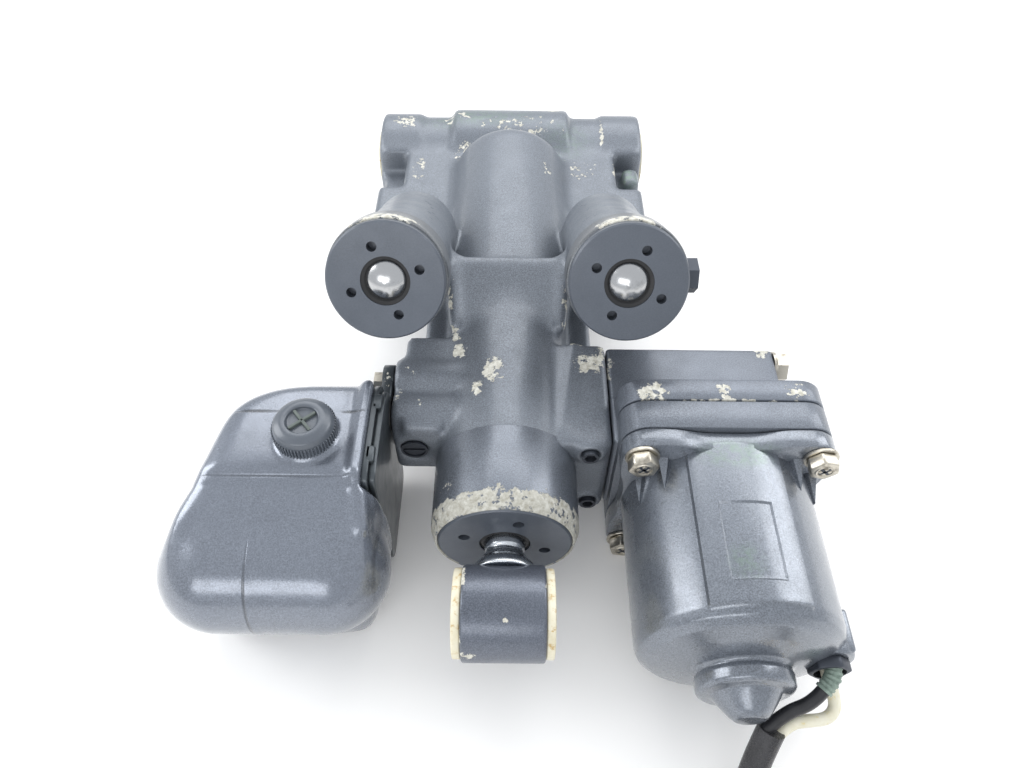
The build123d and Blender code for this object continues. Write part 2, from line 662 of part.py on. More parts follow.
def gear_outline(first):
    """The closed outline of a spur gear, with a tooth's middle at the first angle in degrees."""
    base_r = gear_pitch_r * math.cos(math.radians(20))
    pitch_roll = math.sqrt((gear_pitch_r / base_r) ** 2 - 1)
    tip_roll = math.sqrt((gear_tip_r / base_r) ** 2 - 1)
    half_tooth = math.pi / (2 * gear_teeth) - gear_backlash / (4 * gear_pitch_r)
    pitch_angle = pitch_roll - math.atan(pitch_roll)
    points = []
    for tooth in range(gear_teeth):
        middle = math.radians(first) + 2 * math.pi * tooth / gear_teeth
        flank = []
        for i in range(6):
            x, y = involute(base_r, tip_roll * i / 5)
            flank.append((math.hypot(x, y), math.atan2(y, x)))
        root = (gear_root_r, 0.0)
        rise = [root] + flank
        shift = half_tooth + pitch_angle
        points += [(r, middle - shift + a) for r, a in rise]
        points += [(r, middle + shift - a) for r, a in reversed(rise)]
    return [(r * math.cos(a), r * math.sin(a)) for r, a in points]


def spur_gear(x, first, journal_start, journal_end):
    """A gear with its journals in one piece, its axis along Y."""
    with BuildSketch(facing(x, gear_start, motor_z)) as outline:
        with BuildLine():
            Polyline(*gear_outline(first), close=True)
        make_face()
    extrude(outline.sketch, amount=-(gear_width - run_fit))
    sleeve(turning(at(x, 0, motor_z), (0, 1, 0)), gear_journal_r, 0, journal_start, journal_end)


with BuildPart() as drive_gear:
    spur_gear(motor_x, 0, plate_y + 3, case_end - 3)
save(drive_gear.part, "drive_gear")

with BuildPart() as driven_gear:
    spur_gear(driven_x, 180 / gear_teeth, cover_front + 0.5, case_end - 3)
save(driven_gear.part, "driven_gear")

with BuildPart() as drive_coupling:
    sleeve(motor_line, 8, 0, plate_y + 0.6, cover_front - 0.6)
    sleeve(motor_line, gear_journal_r + still_fit, 0, plate_y + 2.9, cover_front, Mode.SUBTRACT)
    sleeve(motor_line, shaft_r + still_fit, 0, plate_y, plate_y + 2.2, Mode.SUBTRACT)
save(drive_coupling.part, "drive_coupling")

# ---- adapter plate between pump and motor, with bearing and oil seal ----
with BuildPart() as adapter_plate:
    extrude(rounded_square(adapter_y + still_fit, motor_flange_half, flange_corner_r),
            amount=-(plate_y - adapter_y - still_fit))
    drill(facing(motor_x, adapter_y, motor_z), bearing_r + still_fit, [(0, 0)], 9)
    drill(facing(motor_x, adapter_y, motor_z), shaft_r + 1.5, [(0, 0)], 20)
    sleeve(motor_line, 11, 0, plate_y - 5, plate_y + 1, Mode.SUBTRACT)
    drill(facing(motor_x, adapter_y, motor_z), motor_bolt_r + 0.3, bolt_square, 20)
    sleeve(motor_line, 39.4, 36.6, adapter_y - 1, adapter_y + 2.2, Mode.SUBTRACT)
save(adapter_plate.part, "adapter_plate")

with BuildPart() as adapter_o_ring:
    sleeve(motor_line, 39.3, 36.7, adapter_y + 0.02, adapter_y + 2.1)
save(adapter_o_ring.part, "adapter_o_ring")

with BuildPart() as oil_seal:
    sleeve(motor_line, 11 - still_fit, shaft_r + run_fit, plate_y - 4.9, plate_y - 0.2)
save(oil_seal.part, "oil_seal")

with BuildPart() as motor_bearings:
    sleeve(motor_line, bearing_r, shaft_r + run_fit, adapter_y + 0.5, adapter_y + 8.8)
    sleeve(motor_line, 11, shaft_r + run_fit, collar_y - 4, collar_y + 4)
save(motor_bearings.part, "motor_bearings")

# ---- motor frame: flange, drawn barrel, end disc, bearing collar and cone ----
inner_r = motor_r - motor_wall
with BuildPart() as motor_frame:
    extrude(rounded_square(motor_flange_y, motor_flange_half, flange_corner_r),
            amount=-(adapter_y - motor_flange_y))
    with BuildSketch(facing(motor_x, motor_flange_y - 0.1, motor_z)) as scallops:
        with PolarLocations(motor_flange_half + 62, 4, start_angle=0):
            Circle(64.5)
    extrude(scallops.sketch, amount=-5, mode=Mode.SUBTRACT)
    turn(motor_line, [(0, tip_y), (tip_r, tip_y), (cone_r, collar_y - 0.5), (collar_r - 1.5, collar_y),
                      (collar_r, collar_y + 1.5), (collar_r, end_disc_y), (end_disc_r, end_disc_y + 3),
                      (motor_r - 2.5, barrel_front_y - 2), (motor_r, barrel_front_y + 4),
                      (motor_r, adapter_y), (0, adapter_y)])
    # raised panel along the top of the barrel
    with BuildSketch(facing(motor_x, barrel_front_y + 1, motor_z)) as panel:
        Circle(motor_r + panel_rise)
        Circle(motor_r - 1, mode=Mode.SUBTRACT)
        spread = 2 * motor_r * math.sin(math.radians(panel_half_angle))
        with Locations((0, motor_r)):
            Rectangle(spread, 24, mode=Mode.INTERSECT)
    extrude(panel.sketch, amount=-(motor_flange_y - barrel_front_y - 1))
    # shallow rectangle sunk into the panel
    block((motor_x - 11, -33, motor_z + motor_r + 0.3), (motor_x + 11, 1, motor_z + motor_r + 3), Mode.SUBTRACT)
    block(*outlet_box)
    # gussets beside the flange bolts
    for sx in (-1, 1):
        for angle in (52, 128):
            rib = math.radians(angle if sx > 0 else 180 - angle)
            foot = (motor_x + motor_r * math.cos(rib) * 1.0, motor_flange_y, motor_z + motor_r * math.sin(rib))
            with BuildSketch(Plane(origin=at(*foot), x_dir=(math.cos(rib), 0, math.sin(rib)),
                                   z_dir=(-math.sin(rib), 0, math.cos(rib)))) as web:
                with BuildLine():
                    Polyline((-2, 0.5), (-2, -13), (0, -13), (4.5, 0.5), close=True)
                make_face()
            extrude(web.sketch, amount=1.3, both=True)
    # inside of the barrel, bearing seat and lead-out
    turn(motor_line, [(0, end_disc_y + 9), (end_disc_r - 4, end_disc_y + 9), (inner_r - 2.5, barrel_front_y + 4),
                      (inner_r, barrel_front_y + 7), (inner_r, adapter_y + 1), (0, adapter_y + 1)], Mode.SUBTRACT)
    sleeve(motor_line, 11 + still_fit, 0, collar_y - 4.1, end_disc_y + 10, Mode.SUBTRACT)
    sleeve(motor_line, shaft_r + 1, 0, collar_y - 7, collar_y, Mode.SUBTRACT)
    drill(facing(motor_x, motor_flange_y, motor_z), motor_bolt_r + 0.3, bolt_square, 12)
    drill(facing(gland_x, outlet_box[0][1], gland_z), 5.2, [(0, 0)], 16)
    drill(facing(gland_x, end_disc_y - 2, gland_z), gland_across * 0.62, [(0, 0)],
          outlet_box[0][1] - end_disc_y + 2)
save(motor_frame.part, "motor_frame")

head_y = motor_flange_y - washer_thick - still_fit
with BuildPart() as motor_bolts:
    for x, z in bolt_square:
        hex_bolt(facing(motor_x + x, head_y - still_fit, motor_z + z), motor_bolt_r - 0.7, 30,
                 motor_bolt_across, motor_bolt_head, 2.6)
    # their washers, separate solids under the heads
    for x, z in bolt_square:
        sleeve(turning(at(motor_x + x, 0, motor_z + z), (0, 1, 0)), washer_r, motor_bolt_r - 0.6,
               head_y, motor_flange_y - still_fit)
save(motor_bolts.part, "motor_bolts")

# ---- inside the motor ----
with BuildPart() as motor_magnets:
    sleeve(motor_line, inner_r - still_fit, magnet_inner_r, -36, 14)
    for side in (-1, 1):
        block((motor_x - 60, -40, motor_z - 6), (motor_x + 60, 18, motor_z + 6), Mode.SUBTRACT)
save(motor_magnets.part, "motor_magnets")

with BuildPart() as armature_shaft:
    sleeve(motor_line, shaft_r, 0, collar_y - 3.5, plate_y + 2)
save(armature_shaft.part, "armature_shaft")

with BuildPart() as armature_core:
    sleeve(motor_line, core_r, shaft_r + still_fit, -32, 10)
    with BuildSketch(facing(motor_x, -33, motor_z)) as slots:
        with PolarLocations(core_r - 4.5, 12):
            Rectangle(10, 3.2)
    extrude(slots.sketch, amount=-45, mode=Mode.SUBTRACT)
save(armature_core.part, "armature_core")

with BuildPart() as armature_windings:
    with BuildSketch(facing(motor_x, -32, motor_z)) as bars:
        with PolarLocations(core_r - 4.5, 12):
            Rectangle(8.6, 2.8)
    extrude(bars.sketch, amount=-42)
    sleeve(motor_line, core_r - 1.5, shaft_r + 3, -40, -32.02)
    sleeve(motor_line, core_r - 1.5, shaft_r + 3, 10.02, 16)
save(armature_windings.part, "armature_windings")

with BuildPart() as commutator:
    sleeve(motor_line, 12.5, shaft_r + still_fit, 17, 29)
    with BuildSketch(facing(motor_x, 16, motor_z)) as gaps:
        with PolarLocations(12.4, 16):
            Rectangle(1.6, 0.7)
    extrude(gaps.sketch, amount=-14, mode=Mode.SUBTRACT)
save(commutator.part, "commutator")

with BuildPart() as brushes:
    for side in (-1, 1):
        low_x, high_x = sorted((side * 12.6, side * 22))
        block((motor_x + low_x, 19, motor_z - 3.5), (motor_x + high_x, 27, motor_z + 3.5))
save(brushes.part, "brushes")

with BuildPart() as brush_plate:
    sleeve(motor_line, inner_r - still_fit, 14.5, 30.4, 33.5)
    for side in (-1, 1):
        low_x, high_x = sorted((side * 14.5, side * 31))
        block((motor_x + low_x, 17, motor_z - 5.5), (motor_x + high_x, 30.45, motor_z + 5.5))
        low_x, high_x = sorted((side * 12, side * 28.5))
        block((motor_x + low_x, 18.95, motor_z - 3.55), (motor_x + high_x, 27.05, motor_z + 3.55), Mode.SUBTRACT)
save(brush_plate.part, "brush_plate")

with BuildPart() as brush_springs:
    for side in (-1, 1):
        sleeve(turning(at(motor_x, 23, motor_z), (side, 0, 0)), 3, 1.8, 22.05, 28.4)
save(brush_springs.part, "brush_springs")

# ---- cable gland and grommet ----
outlet_face = outlet_box[0][1]
with BuildPart() as gland_nut:
    with BuildSketch(facing(gland_x, outlet_face - still_fit, gland_z)) as body:
        RegularPolygon(gland_across / 2, 6, major_radius=False)
    extrude(body.sketch, amount=gland_len)
    sleeve(turning(at(gland_x, outlet_face, gland_z), (0, 1, 0)), grommet_r + 0.1, 0, -gland_len - 1, 0.1,
           Mode.SUBTRACT)
save(gland_nut.part, "gland_nut")

with BuildPart() as gland_grommet:
    sleeve(turning(at(gland_x, outlet_face, gland_z), (0, 1, 0)), grommet_r, 0, -gland_len + 0.8, -0.1)
save(gland_grommet.part, "gland_grommet")

# ---- reservoir: moulded shell closed by a side cover that bolts to the casting ----
shell_face = tank_face - tank_cover
tank_plan = [(shell_face, tank_back), (-99, tank_back), (-124, 52), (-133, 14), (-tank_reach, -6),
             (-tank_reach, -20), (-130, tank_front), (-84, tank_front), (shell_face, tank_front + 15)]
tank_side = [(tank_back + 1, -48), (tank_back + 1, tank_top - 4), (43, tank_top), (12, tank_top),
             (10, tank_top - 4), (-10, tank_top - 9), (-30, 20), (tank_front - 1, -2),
             (tank_front - 1, -24), (-30, -42), (-14, -48)]


def tank_solid(inset, open_face):
    """The tank's outer form, or its hollow where an inset is given."""
    with BuildSketch(level(0, 0, -60)) as seen_from_above:
        with BuildLine():
            Polyline(*tank_plan, close=True)
        make_face()
        corners = seen_from_above.vertices().sort_by(Axis.X)[:-2]
        fillet(corners, 14)
        if inset:
            offset(amount=-inset, kind=Kind.INTERSECTION)
    with BuildSketch(sideways(-tank_reach - 5, 0, 0)) as seen_from_side:
        with BuildLine():
            Polyline(*tank_side, close=True)
        make_face()
        if inset:
            offset(amount=-inset, kind=Kind.INTERSECTION)
    with BuildPart() as form:
        extrude(seen_from_above.sketch, amount=120)
        extrude(seen_from_side.sketch, amount=tank_reach + 5 + open_face, mode=Mode.INTERSECT)
    return form.part


with BuildPart() as reservoir_shell:
    add(tank_solid(0, shell_face))
    with BuildSketch(level(filler_x, filler_y, tank_top - 4)) as neck:
        Circle(filler_neck_r)
    extrude(neck.sketch, amount=5)
    add(tank_solid(tank_wall, shell_face), mode=Mode.SUBTRACT)
    block((shell_face - 8, tank_front + 20, -38), (shell_face + 1, tank_back - 8, 28), Mode.SUBTRACT)
    sleeve(filler_line, filler_thread_r + run_fit, 0, -12, 3, Mode.SUBTRACT)
save(reservoir_shell.part, "reservoir_shell")

with BuildPart() as reservoir_cover:
    block((shell_face + still_fit, tank_front + 16, -46), (tank_face - still_fit, tank_back, 34))
    for z in (tank_bolt_z, boss_low_z):
        block((shell_face + still_fit, tank_back - 4, z - 9), (tank_face - still_fit, tank_bolt_y, z + 9))
        sleeve(turning(at(0, tank_bolt_y, z), (-1, 0, 0)), 9, 0, -tank_face + still_fit, -shell_face - still_fit)
    for z in (tank_bolt_z, boss_low_z):
        sleeve(turning(at(0, tank_bolt_y, z), (-1, 0, 0)), 3.3, 0, 50, 70, Mode.SUBTRACT)
    sleeve(turning(at(0, port_y, port_z), (-1, 0, 0)), 4, 0, 50, 70, Mode.SUBTRACT)
    sleeve(turning(at(0, port_y, port_z), (-1, 0, 0)), 8.1, 5.4, 50, -tank_face + 2, Mode.SUBTRACT)
save(reservoir_cover.part, "reservoir_cover")

with BuildPart() as reservoir_seal:
    sleeve(turning(at(0, port_y, port_z), (-1, 0, 0)), 8, 5.5, -tank_face + 0.02, -tank_face + 1.95)
save(reservoir_seal.part, "reservoir_seal")

with BuildPart() as reservoir_bolts:
    for z in (tank_bolt_z, boss_low_z):
        plane = Plane(origin=at(shell_face - still_fit, tank_bolt_y, z), x_dir=(0, 1, 0), z_dir=(-1, 0, 0))
        hex_bolt(plane, 3, 22, 10, 4.5)
save(reservoir_bolts.part, "reservoir_bolts")

# ---- filler cap: knurled, with a cross recess, and its seal ----
with BuildPart() as filler_cap:
    turn(filler_line, [(0, -9), (filler_thread_r, -9), (filler_thread_r, 1.1), (filler_thread_r, 2.9),
                       (12.6, 2.9), (12.6, 1.3), (filler_cap_r, 1.3), (filler_cap_r, 7.5), (filler_cap_r - 1.2, 10),
                       (filler_cap_r - 4, filler_cap_height), (0, filler_cap_height)])
    with BuildSketch(level(filler_x, filler_y, tank_top + 1.3)) as flutes:
        with PolarLocations(filler_cap_r + 0.35, 48):
            Circle(0.6)
    extrude(flutes.sketch, amount=7, mode=Mode.SUBTRACT)
    with BuildSketch(level(filler_x, filler_y, tank_top + filler_cap_height)) as recess:
        Circle(6.6)
    extrude(recess.sketch, amount=-1.2, mode=Mode.SUBTRACT)
    with BuildSketch(level(filler_x, filler_y, tank_top + filler_cap_height - 1.2)) as cross:
        Rectangle(12.4, 2.4, rotation=45)
        Rectangle(12.4, 2.4, rotation=-45)
    extrude(cross.sketch, amount=-3, mode=Mode.SUBTRACT)
save(filler_cap.part, "filler_cap")

with BuildPart() as filler_cap_seal:
    sleeve(filler_line, 12.5, filler_thread_r + run_fit, 1.05, 2.85)
save(filler_cap_seal.part, "filler_cap_seal")

# ---- lead: two wires from the gland, a ribbed boot, and the sleeve that lies in one loop ----


def cord_path(points, diameter):
    """A route of straight runs and tangent arcs, each arc as large as its runs allow."""
    route = [Vector(*at(*p)) for p in points]
    radii = []
    for before, here, after in zip(route, route[1:], route[2:]):
        run_in, run_out = here - before, after - here
        half_turn = math.radians(run_in.get_angle(run_out)) / 2
        radii.append(0.45 * min(run_in.length, run_out.length) / math.tan(half_turn))
    print("radii in diameters:", [round(r / diameter, 1) for r in radii])
    with BuildLine() as line:
        FilletPolyline(*route, radius=radii)
    return line.wire()


def cord_tube(points, diameter, name):
    """The round tube along a route, with its volume checked against its length."""
    path = cord_path(points, diameter)
    start = Plane(origin=path @ 0, z_dir=path % 0)
    with BuildPart() as tube:
        with BuildSketch(start) as section:
            Circle(diameter / 2)
        sweep(section.sketch, path=path)
    expected = math.pi * diameter ** 2 / 4 * path.length
    print(name, "length", round(path.length, 1), "volume ratio", round(tube.part.volume / expected, 4))
    save(tube.part, name)


grommet_face = outlet_face - gland_len + 0.8
wire_start = grommet_face + 1.5
sleeve_start = (109.0, -73.5, -15.0)
black_route = [(135.0, wire_start, -0.8), (134.5, -56.5, -2.6), (125.5, -65.0, -8.5), (114.5, -68.0, -11.0),
               (105.6, -74.3, -15.6)]
cream_route = [(134.0, wire_start, -7.8), (134.2, -53.4, -8.1), (137.1, -59.5, -13.6), (137.5, -65.0, -16.2),
               (133.2, -68.8, -17.5), (125.0, -69.2, -17.8), (117.0, -70.5, -17.6), (110.3, -76.4, -19.0)]
cord_tube(black_route, wire_d, "wire_black")
cord_tube(cream_route, cream_d, "wire_cream")

rest_z = -rest_depth + sleeve_d / 2 + 0.1
sleeve_route = [sleeve_start, (104.5, -81.5, -24.0), (100.0, -92.5, -34.0), (93.0, -107.0, -41.0),
                (81.5, -124.0, rest_z), (65.0, -147.0, rest_z)]
for step in range(9):
    angle = math.radians(165 + 30 * step)
    sleeve_route.append((coil_x + coil_r * math.cos(angle), coil_y + coil_r * math.sin(angle), rest_z))
cord_tube(sleeve_route, sleeve_d, "lead_sleeve")

# ---- ribbed boot over the first stretch of the black wire ----
boot_from = 1.9
boot_len = 11.5
wire_path = cord_path(black_route, wire_d)


def wire_plane(along):
    """The plane across the black wire, a way along it from its start."""
    share = along / wire_path.length
    return Plane(origin=wire_path @ share, z_dir=wire_path % share)


with BuildPart() as wire_boot:
    step = boot_len / 12
    for piece in range(12):
        plane = wire_plane(boot_from + (piece + 0.5) * step)
        with BuildSketch(plane) as ring:
            Circle(boot_r - 0.4 + 0.4 * (piece % 2))
        extrude(ring.sketch, amount=step * 0.5 + 0.12, both=True)
    with BuildSketch(Plane(origin=wire_path @ 0, z_dir=wire_path % 0)) as bore:
        Circle(wire_d / 2 + still_fit)
    sweep(bore.sketch, path=wire_path, mode=Mode.SUBTRACT)
save(wire_boot.part, "wire_boot")

# ---- end of the lead: two short wires with ring terminals, flat on the surface ----
end_turn = math.radians(165 + 30 * 7.5)
end_along = Vector(-math.sin(end_turn), math.cos(end_turn), 0)
end_across = Vector(math.cos(end_turn), math.sin(end_turn), 0)
lead_end = Vector(*at(*sleeve_route[-1]))
wire_low_z = wire_d / 2 + 0.1
tail_len = 20.0
terminal_thick = 1.2
eyelet_r = 3.2
eyelet_outer_r = 6.0


def tail_points(way):
    """The route of one short wire from the sleeve's end down to the surface."""
    start = lead_end - end_along * 3 + end_across * 2.95 * way
    middle = lead_end + end_along * (tail_len * 0.5) + end_across * 4.2 * way
    last = lead_end + end_along * tail_len + end_across * 8.5 * way
    return [start, Vector(middle.X, middle.Y, wire_low_z + 0.4), Vector(last.X, last.Y, wire_low_z)]


with BuildPart() as lead_tails:
    for way in (-1, 1):
        start, middle, last = tail_points(way)
        with BuildLine() as route:
            FilletPolyline(start, middle, last, radius=12)
        with BuildSketch(Plane(origin=route.wire() @ 0, z_dir=route.wire() % 0)) as section:
            Circle(wire_d / 2)
        sweep(section.sketch, path=route.wire())
save(lead_tails.part, "lead_tails")

with BuildPart() as ring_terminals:
    for way in (-1, 1):
        start, middle, last = tail_points(way)
        along = (last - middle).normalized()
        flat = Vector(along.X, along.Y, 0).normalized()
        barrel = turning(last, flat)
        sleeve(barrel, wire_d / 2, 0, 0.05, 7)
        eyelet = last + flat * 13
        with BuildSketch(Plane(origin=(eyelet.X, eyelet.Y, 0.1), x_dir=flat, z_dir=(0, 0, 1))) as plate:
            Circle(eyelet_outer_r)
            with Locations((-5, 0)):
                Rectangle(9, 5.4)
            Circle(eyelet_r, mode=Mode.SUBTRACT)
        extrude(plate.sketch, amount=terminal_thick)
save(ring_terminals.part, "ring_terminals")
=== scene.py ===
import logging
import math
from dataclasses import dataclass
from enum import Enum
from typing import Callable, Optional, Sequence, Union

import bmesh
import bpy
import numpy as np
from mathutils import Euler, Matrix, Vector


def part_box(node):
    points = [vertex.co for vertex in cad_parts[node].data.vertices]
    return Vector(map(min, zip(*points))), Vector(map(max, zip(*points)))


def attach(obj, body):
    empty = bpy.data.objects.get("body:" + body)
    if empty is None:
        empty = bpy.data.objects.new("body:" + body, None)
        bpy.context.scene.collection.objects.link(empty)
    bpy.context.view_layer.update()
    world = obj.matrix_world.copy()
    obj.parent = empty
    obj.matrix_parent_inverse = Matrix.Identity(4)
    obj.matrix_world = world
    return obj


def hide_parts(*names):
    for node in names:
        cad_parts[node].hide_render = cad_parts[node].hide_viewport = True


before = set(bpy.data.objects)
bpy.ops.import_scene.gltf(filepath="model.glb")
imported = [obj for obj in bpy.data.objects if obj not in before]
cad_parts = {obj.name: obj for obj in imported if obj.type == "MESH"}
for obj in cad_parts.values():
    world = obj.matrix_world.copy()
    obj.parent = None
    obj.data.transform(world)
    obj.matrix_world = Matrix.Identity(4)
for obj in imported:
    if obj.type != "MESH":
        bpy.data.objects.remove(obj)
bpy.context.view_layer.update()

log = logging.getLogger("tilt_unit")

MM = 0.001
Point = tuple[float, float, float]
Outline = list[tuple[float, float]]
Field = Callable[[np.ndarray], np.ndarray]
Material = bpy.types.Material
Piece = bpy.types.Object
Socket = bpy.types.NodeSocket
Tree = bpy.types.GeometryNodeTree
Value = Union[float, tuple, Socket]

CAP_LOW, CAP_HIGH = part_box("tilt_cap")
HOME = np.array(((CAP_LOW[0] + CAP_HIGH[0]) / 2, CAP_LOW[1], (CAP_LOW[2] + CAP_HIGH[2]) / 2)) / MM
LEAN = math.radians(30.0)
TRIM_ALONG = (0.0, math.cos(LEAN), -math.sin(LEAN))
TRIM_X, TRIM_Y, TRIM_Z = 53.2, 85.1, 79.4
MOTOR_X, MOTOR_Z = 98.3, -5.0
FLOOR_Z = -50.0
AXIS_X, AXIS_Y, AXIS_Z = (1, 0, 0), (0, 1, 0), (0, 0, 1)
TO_LEFT = (-1, 0, 0)
SIDES = (-1, 1)


class Way(Enum):
    """The direction that a body is extruded along."""

    ACROSS = 0
    BACK = 1
    UP = 2


def in_scene(point: Point) -> tuple:
    """A point of the unit's frame in millimetres, as a place in the scene in metres."""
    return tuple(float(v) for v in (np.array(point) + HOME) * MM)


# ---------------------------------------------------------------- outlines


def soften(outline: Outline, radius: float, steps: int = 4, closed: bool = True) -> Outline:
    """Round the corners of an outline.

    Args:
        outline: corner points in order.
        radius: how far from each corner the curve starts.
        steps: points on each rounded corner.
        closed: whether the last point joins the first.

    Returns:
        The outline with its corners replaced by short curves.
    """
    count, result = len(outline), []
    for i, (x, y) in enumerate(outline):
        if not closed and i in (0, count - 1):
            result.append((x, y))
            continue
        before, after = outline[i - 1], outline[(i + 1) % count]
        ends = []
        for px, py in (before, after):
            length = math.hypot(px - x, py - y)
            share = min(radius, 0.45 * length) / length
            ends.append((x + (px - x) * share, y + (py - y) * share))
        for k in range(steps + 1):
            t = k / steps
            result.append(tuple((1 - t) ** 2 * a + 2 * t * (1 - t) * c + t * t * b
                                for a, b, c in zip(ends[0], ends[1], (x, y))))
    return result


def round_square(half: float, corner: float, steps: int = 8) -> Outline:
    """The outline of a square with round corners, about the origin."""
    result, inset = [], half - corner
    for sx, sz, first in ((1, 1, 0), (-1, 1, 90), (-1, -1, 180), (1, -1, 270)):
        for k in range(steps + 1):
            a = math.radians(first + 90 * k / steps)
            result.append((sx * inset + corner * math.cos(a), sz * inset + corner * math.sin(a)))
    return result


def polygon(middle: tuple[float, float], radius: float, count: int, first: float = 0.0) -> Outline:
    """A regular outline, with its first corner at an angle in degrees."""
    angles = [math.radians(360 / count * k + first) for k in range(count)]
    return [(middle[0] + radius * math.cos(a), middle[1] + radius * math.sin(a)) for a in angles]


# ---------------------------------------------------------------- distance fields for cast bodies


def outline_distance(u: np.ndarray, v: np.ndarray, outline: Outline) -> np.ndarray:
    """Signed distance to a closed outline, negative inside. Edges on v = 0 count as open."""
    best = np.full(u.shape, 1e9, np.float32)
    inside = np.zeros(u.shape, bool)
    for (u0, v0), (u1, v1) in zip(outline, outline[1:] + outline[:1]):
        if abs(v0) < 1e-6 and abs(v1) < 1e-6:
            continue
        du, dv = u1 - u0, v1 - v0
        length = du * du + dv * dv
        if length < 1e-9:
            continue
        pu, pv = u - u0, v - v0
        t = np.clip((pu * du + pv * dv) / length, 0, 1)
        np.minimum(best, (pu - t * du) ** 2 + (pv - t * dv) ** 2, out=best)
        if du:
            crosses = (u0 > u) != (u1 > u)
            inside ^= crosses & (v < v0 + (u - u0) * dv / du)
    best = np.sqrt(best)
    return np.where(inside, -best, best)


def turned(origin: Point, along: Point, outline: Outline) -> Field:
    """A body of revolution from (distance along the axis, radius) points."""
    base = np.array(origin, np.float32)
    axis = np.array(along, np.float32) / np.linalg.norm(along)

    def value(p: np.ndarray) -> np.ndarray:
        d = p - base
        t = d @ axis
        r = np.sqrt(np.maximum((d * d).sum(1) - t * t, 0))
        return outline_distance(t, r, outline)
    return value


def bar(origin: Point, along: Point, low: float, high: float, radius: float) -> Field:
    """A plain cylinder between two distances along an axis."""
    return turned(origin, along, [(low, 0), (low, radius), (high, radius), (high, 0)])


def slab(low: Point, high: Point, edge: float = 1.5) -> Field:
    """A box with round edges between two corners."""
    middle = (np.array(low, np.float32) + np.array(high, np.float32)) / 2
    half = (np.array(high, np.float32) - np.array(low, np.float32)) / 2 - edge

    def value(p: np.ndarray) -> np.ndarray:
        q = np.abs(p - middle) - half
        return np.sqrt((np.maximum(q, 0) ** 2).sum(1)) + np.minimum(q.max(1), 0) - edge
    return value


def prism(way: Way, outline: Outline, low: float, high: float, edge: float = 1.5) -> Field:
    """An outline extruded along one axis, with rounded rims."""
    axis = way.value
    u_axis, v_axis = [i for i in range(3) if i != axis]
    middle, half = (low + high) / 2, (high - low) / 2

    def value(p: np.ndarray) -> np.ndarray:
        flat = outline_distance(p[:, u_axis], p[:, v_axis], outline) + edge
        tall = np.abs(p[:, axis] - middle) - half + edge
        out = np.sqrt(np.maximum(flat, 0) ** 2 + np.maximum(tall, 0) ** 2)
        return out + np.minimum(np.maximum(flat, tall), 0) - edge
    return value


def rod(start: Point, end: Point, radius: float) -> Field:
    """A round bar with ball ends."""
    a, b = np.array(start, np.float32), np.array(end, np.float32)
    line = b - a

    def value(p: np.ndarray) -> np.ndarray:
        t = np.clip(((p - a) @ line) / (line @ line), 0, 1)
        return np.linalg.norm(p - a - t[:, None] * line, axis=1) - radius
    return value


def merge(k: float, *fields: Field) -> Field:
    """The union of bodies, with a fillet of about k where they meet."""
    def value(p: np.ndarray) -> np.ndarray:
        result = fields[0](p)
        for other in fields[1:]:
            b = other(p)
            h = np.maximum(k - np.abs(result - b), 0) / k
            result = np.minimum(result, b) - h * h * k / 4
        return result
    return value


def common(k: float, a: Field, b: Field) -> Field:
    """What two bodies share, with its edges rounded by about k."""
    def value(p: np.ndarray) -> np.ndarray:
        x, y = a(p), b(p)
        h = np.maximum(k - np.abs(x - y), 0) / k
        return np.maximum(x, y) + h * h * k / 4
    return value


def cut(k: float, body: Field, *tools: Field) -> Field:
    """A body with other bodies cut out of it, edges rounded by about k."""
    def value(p: np.ndarray) -> np.ndarray:
        result = body(p)
        for tool in tools:
            b = -tool(p)
            h = np.maximum(k - np.abs(result - b), 0) / k
            result = np.maximum(result, b) + h * h * k / 4
        return result
    return value


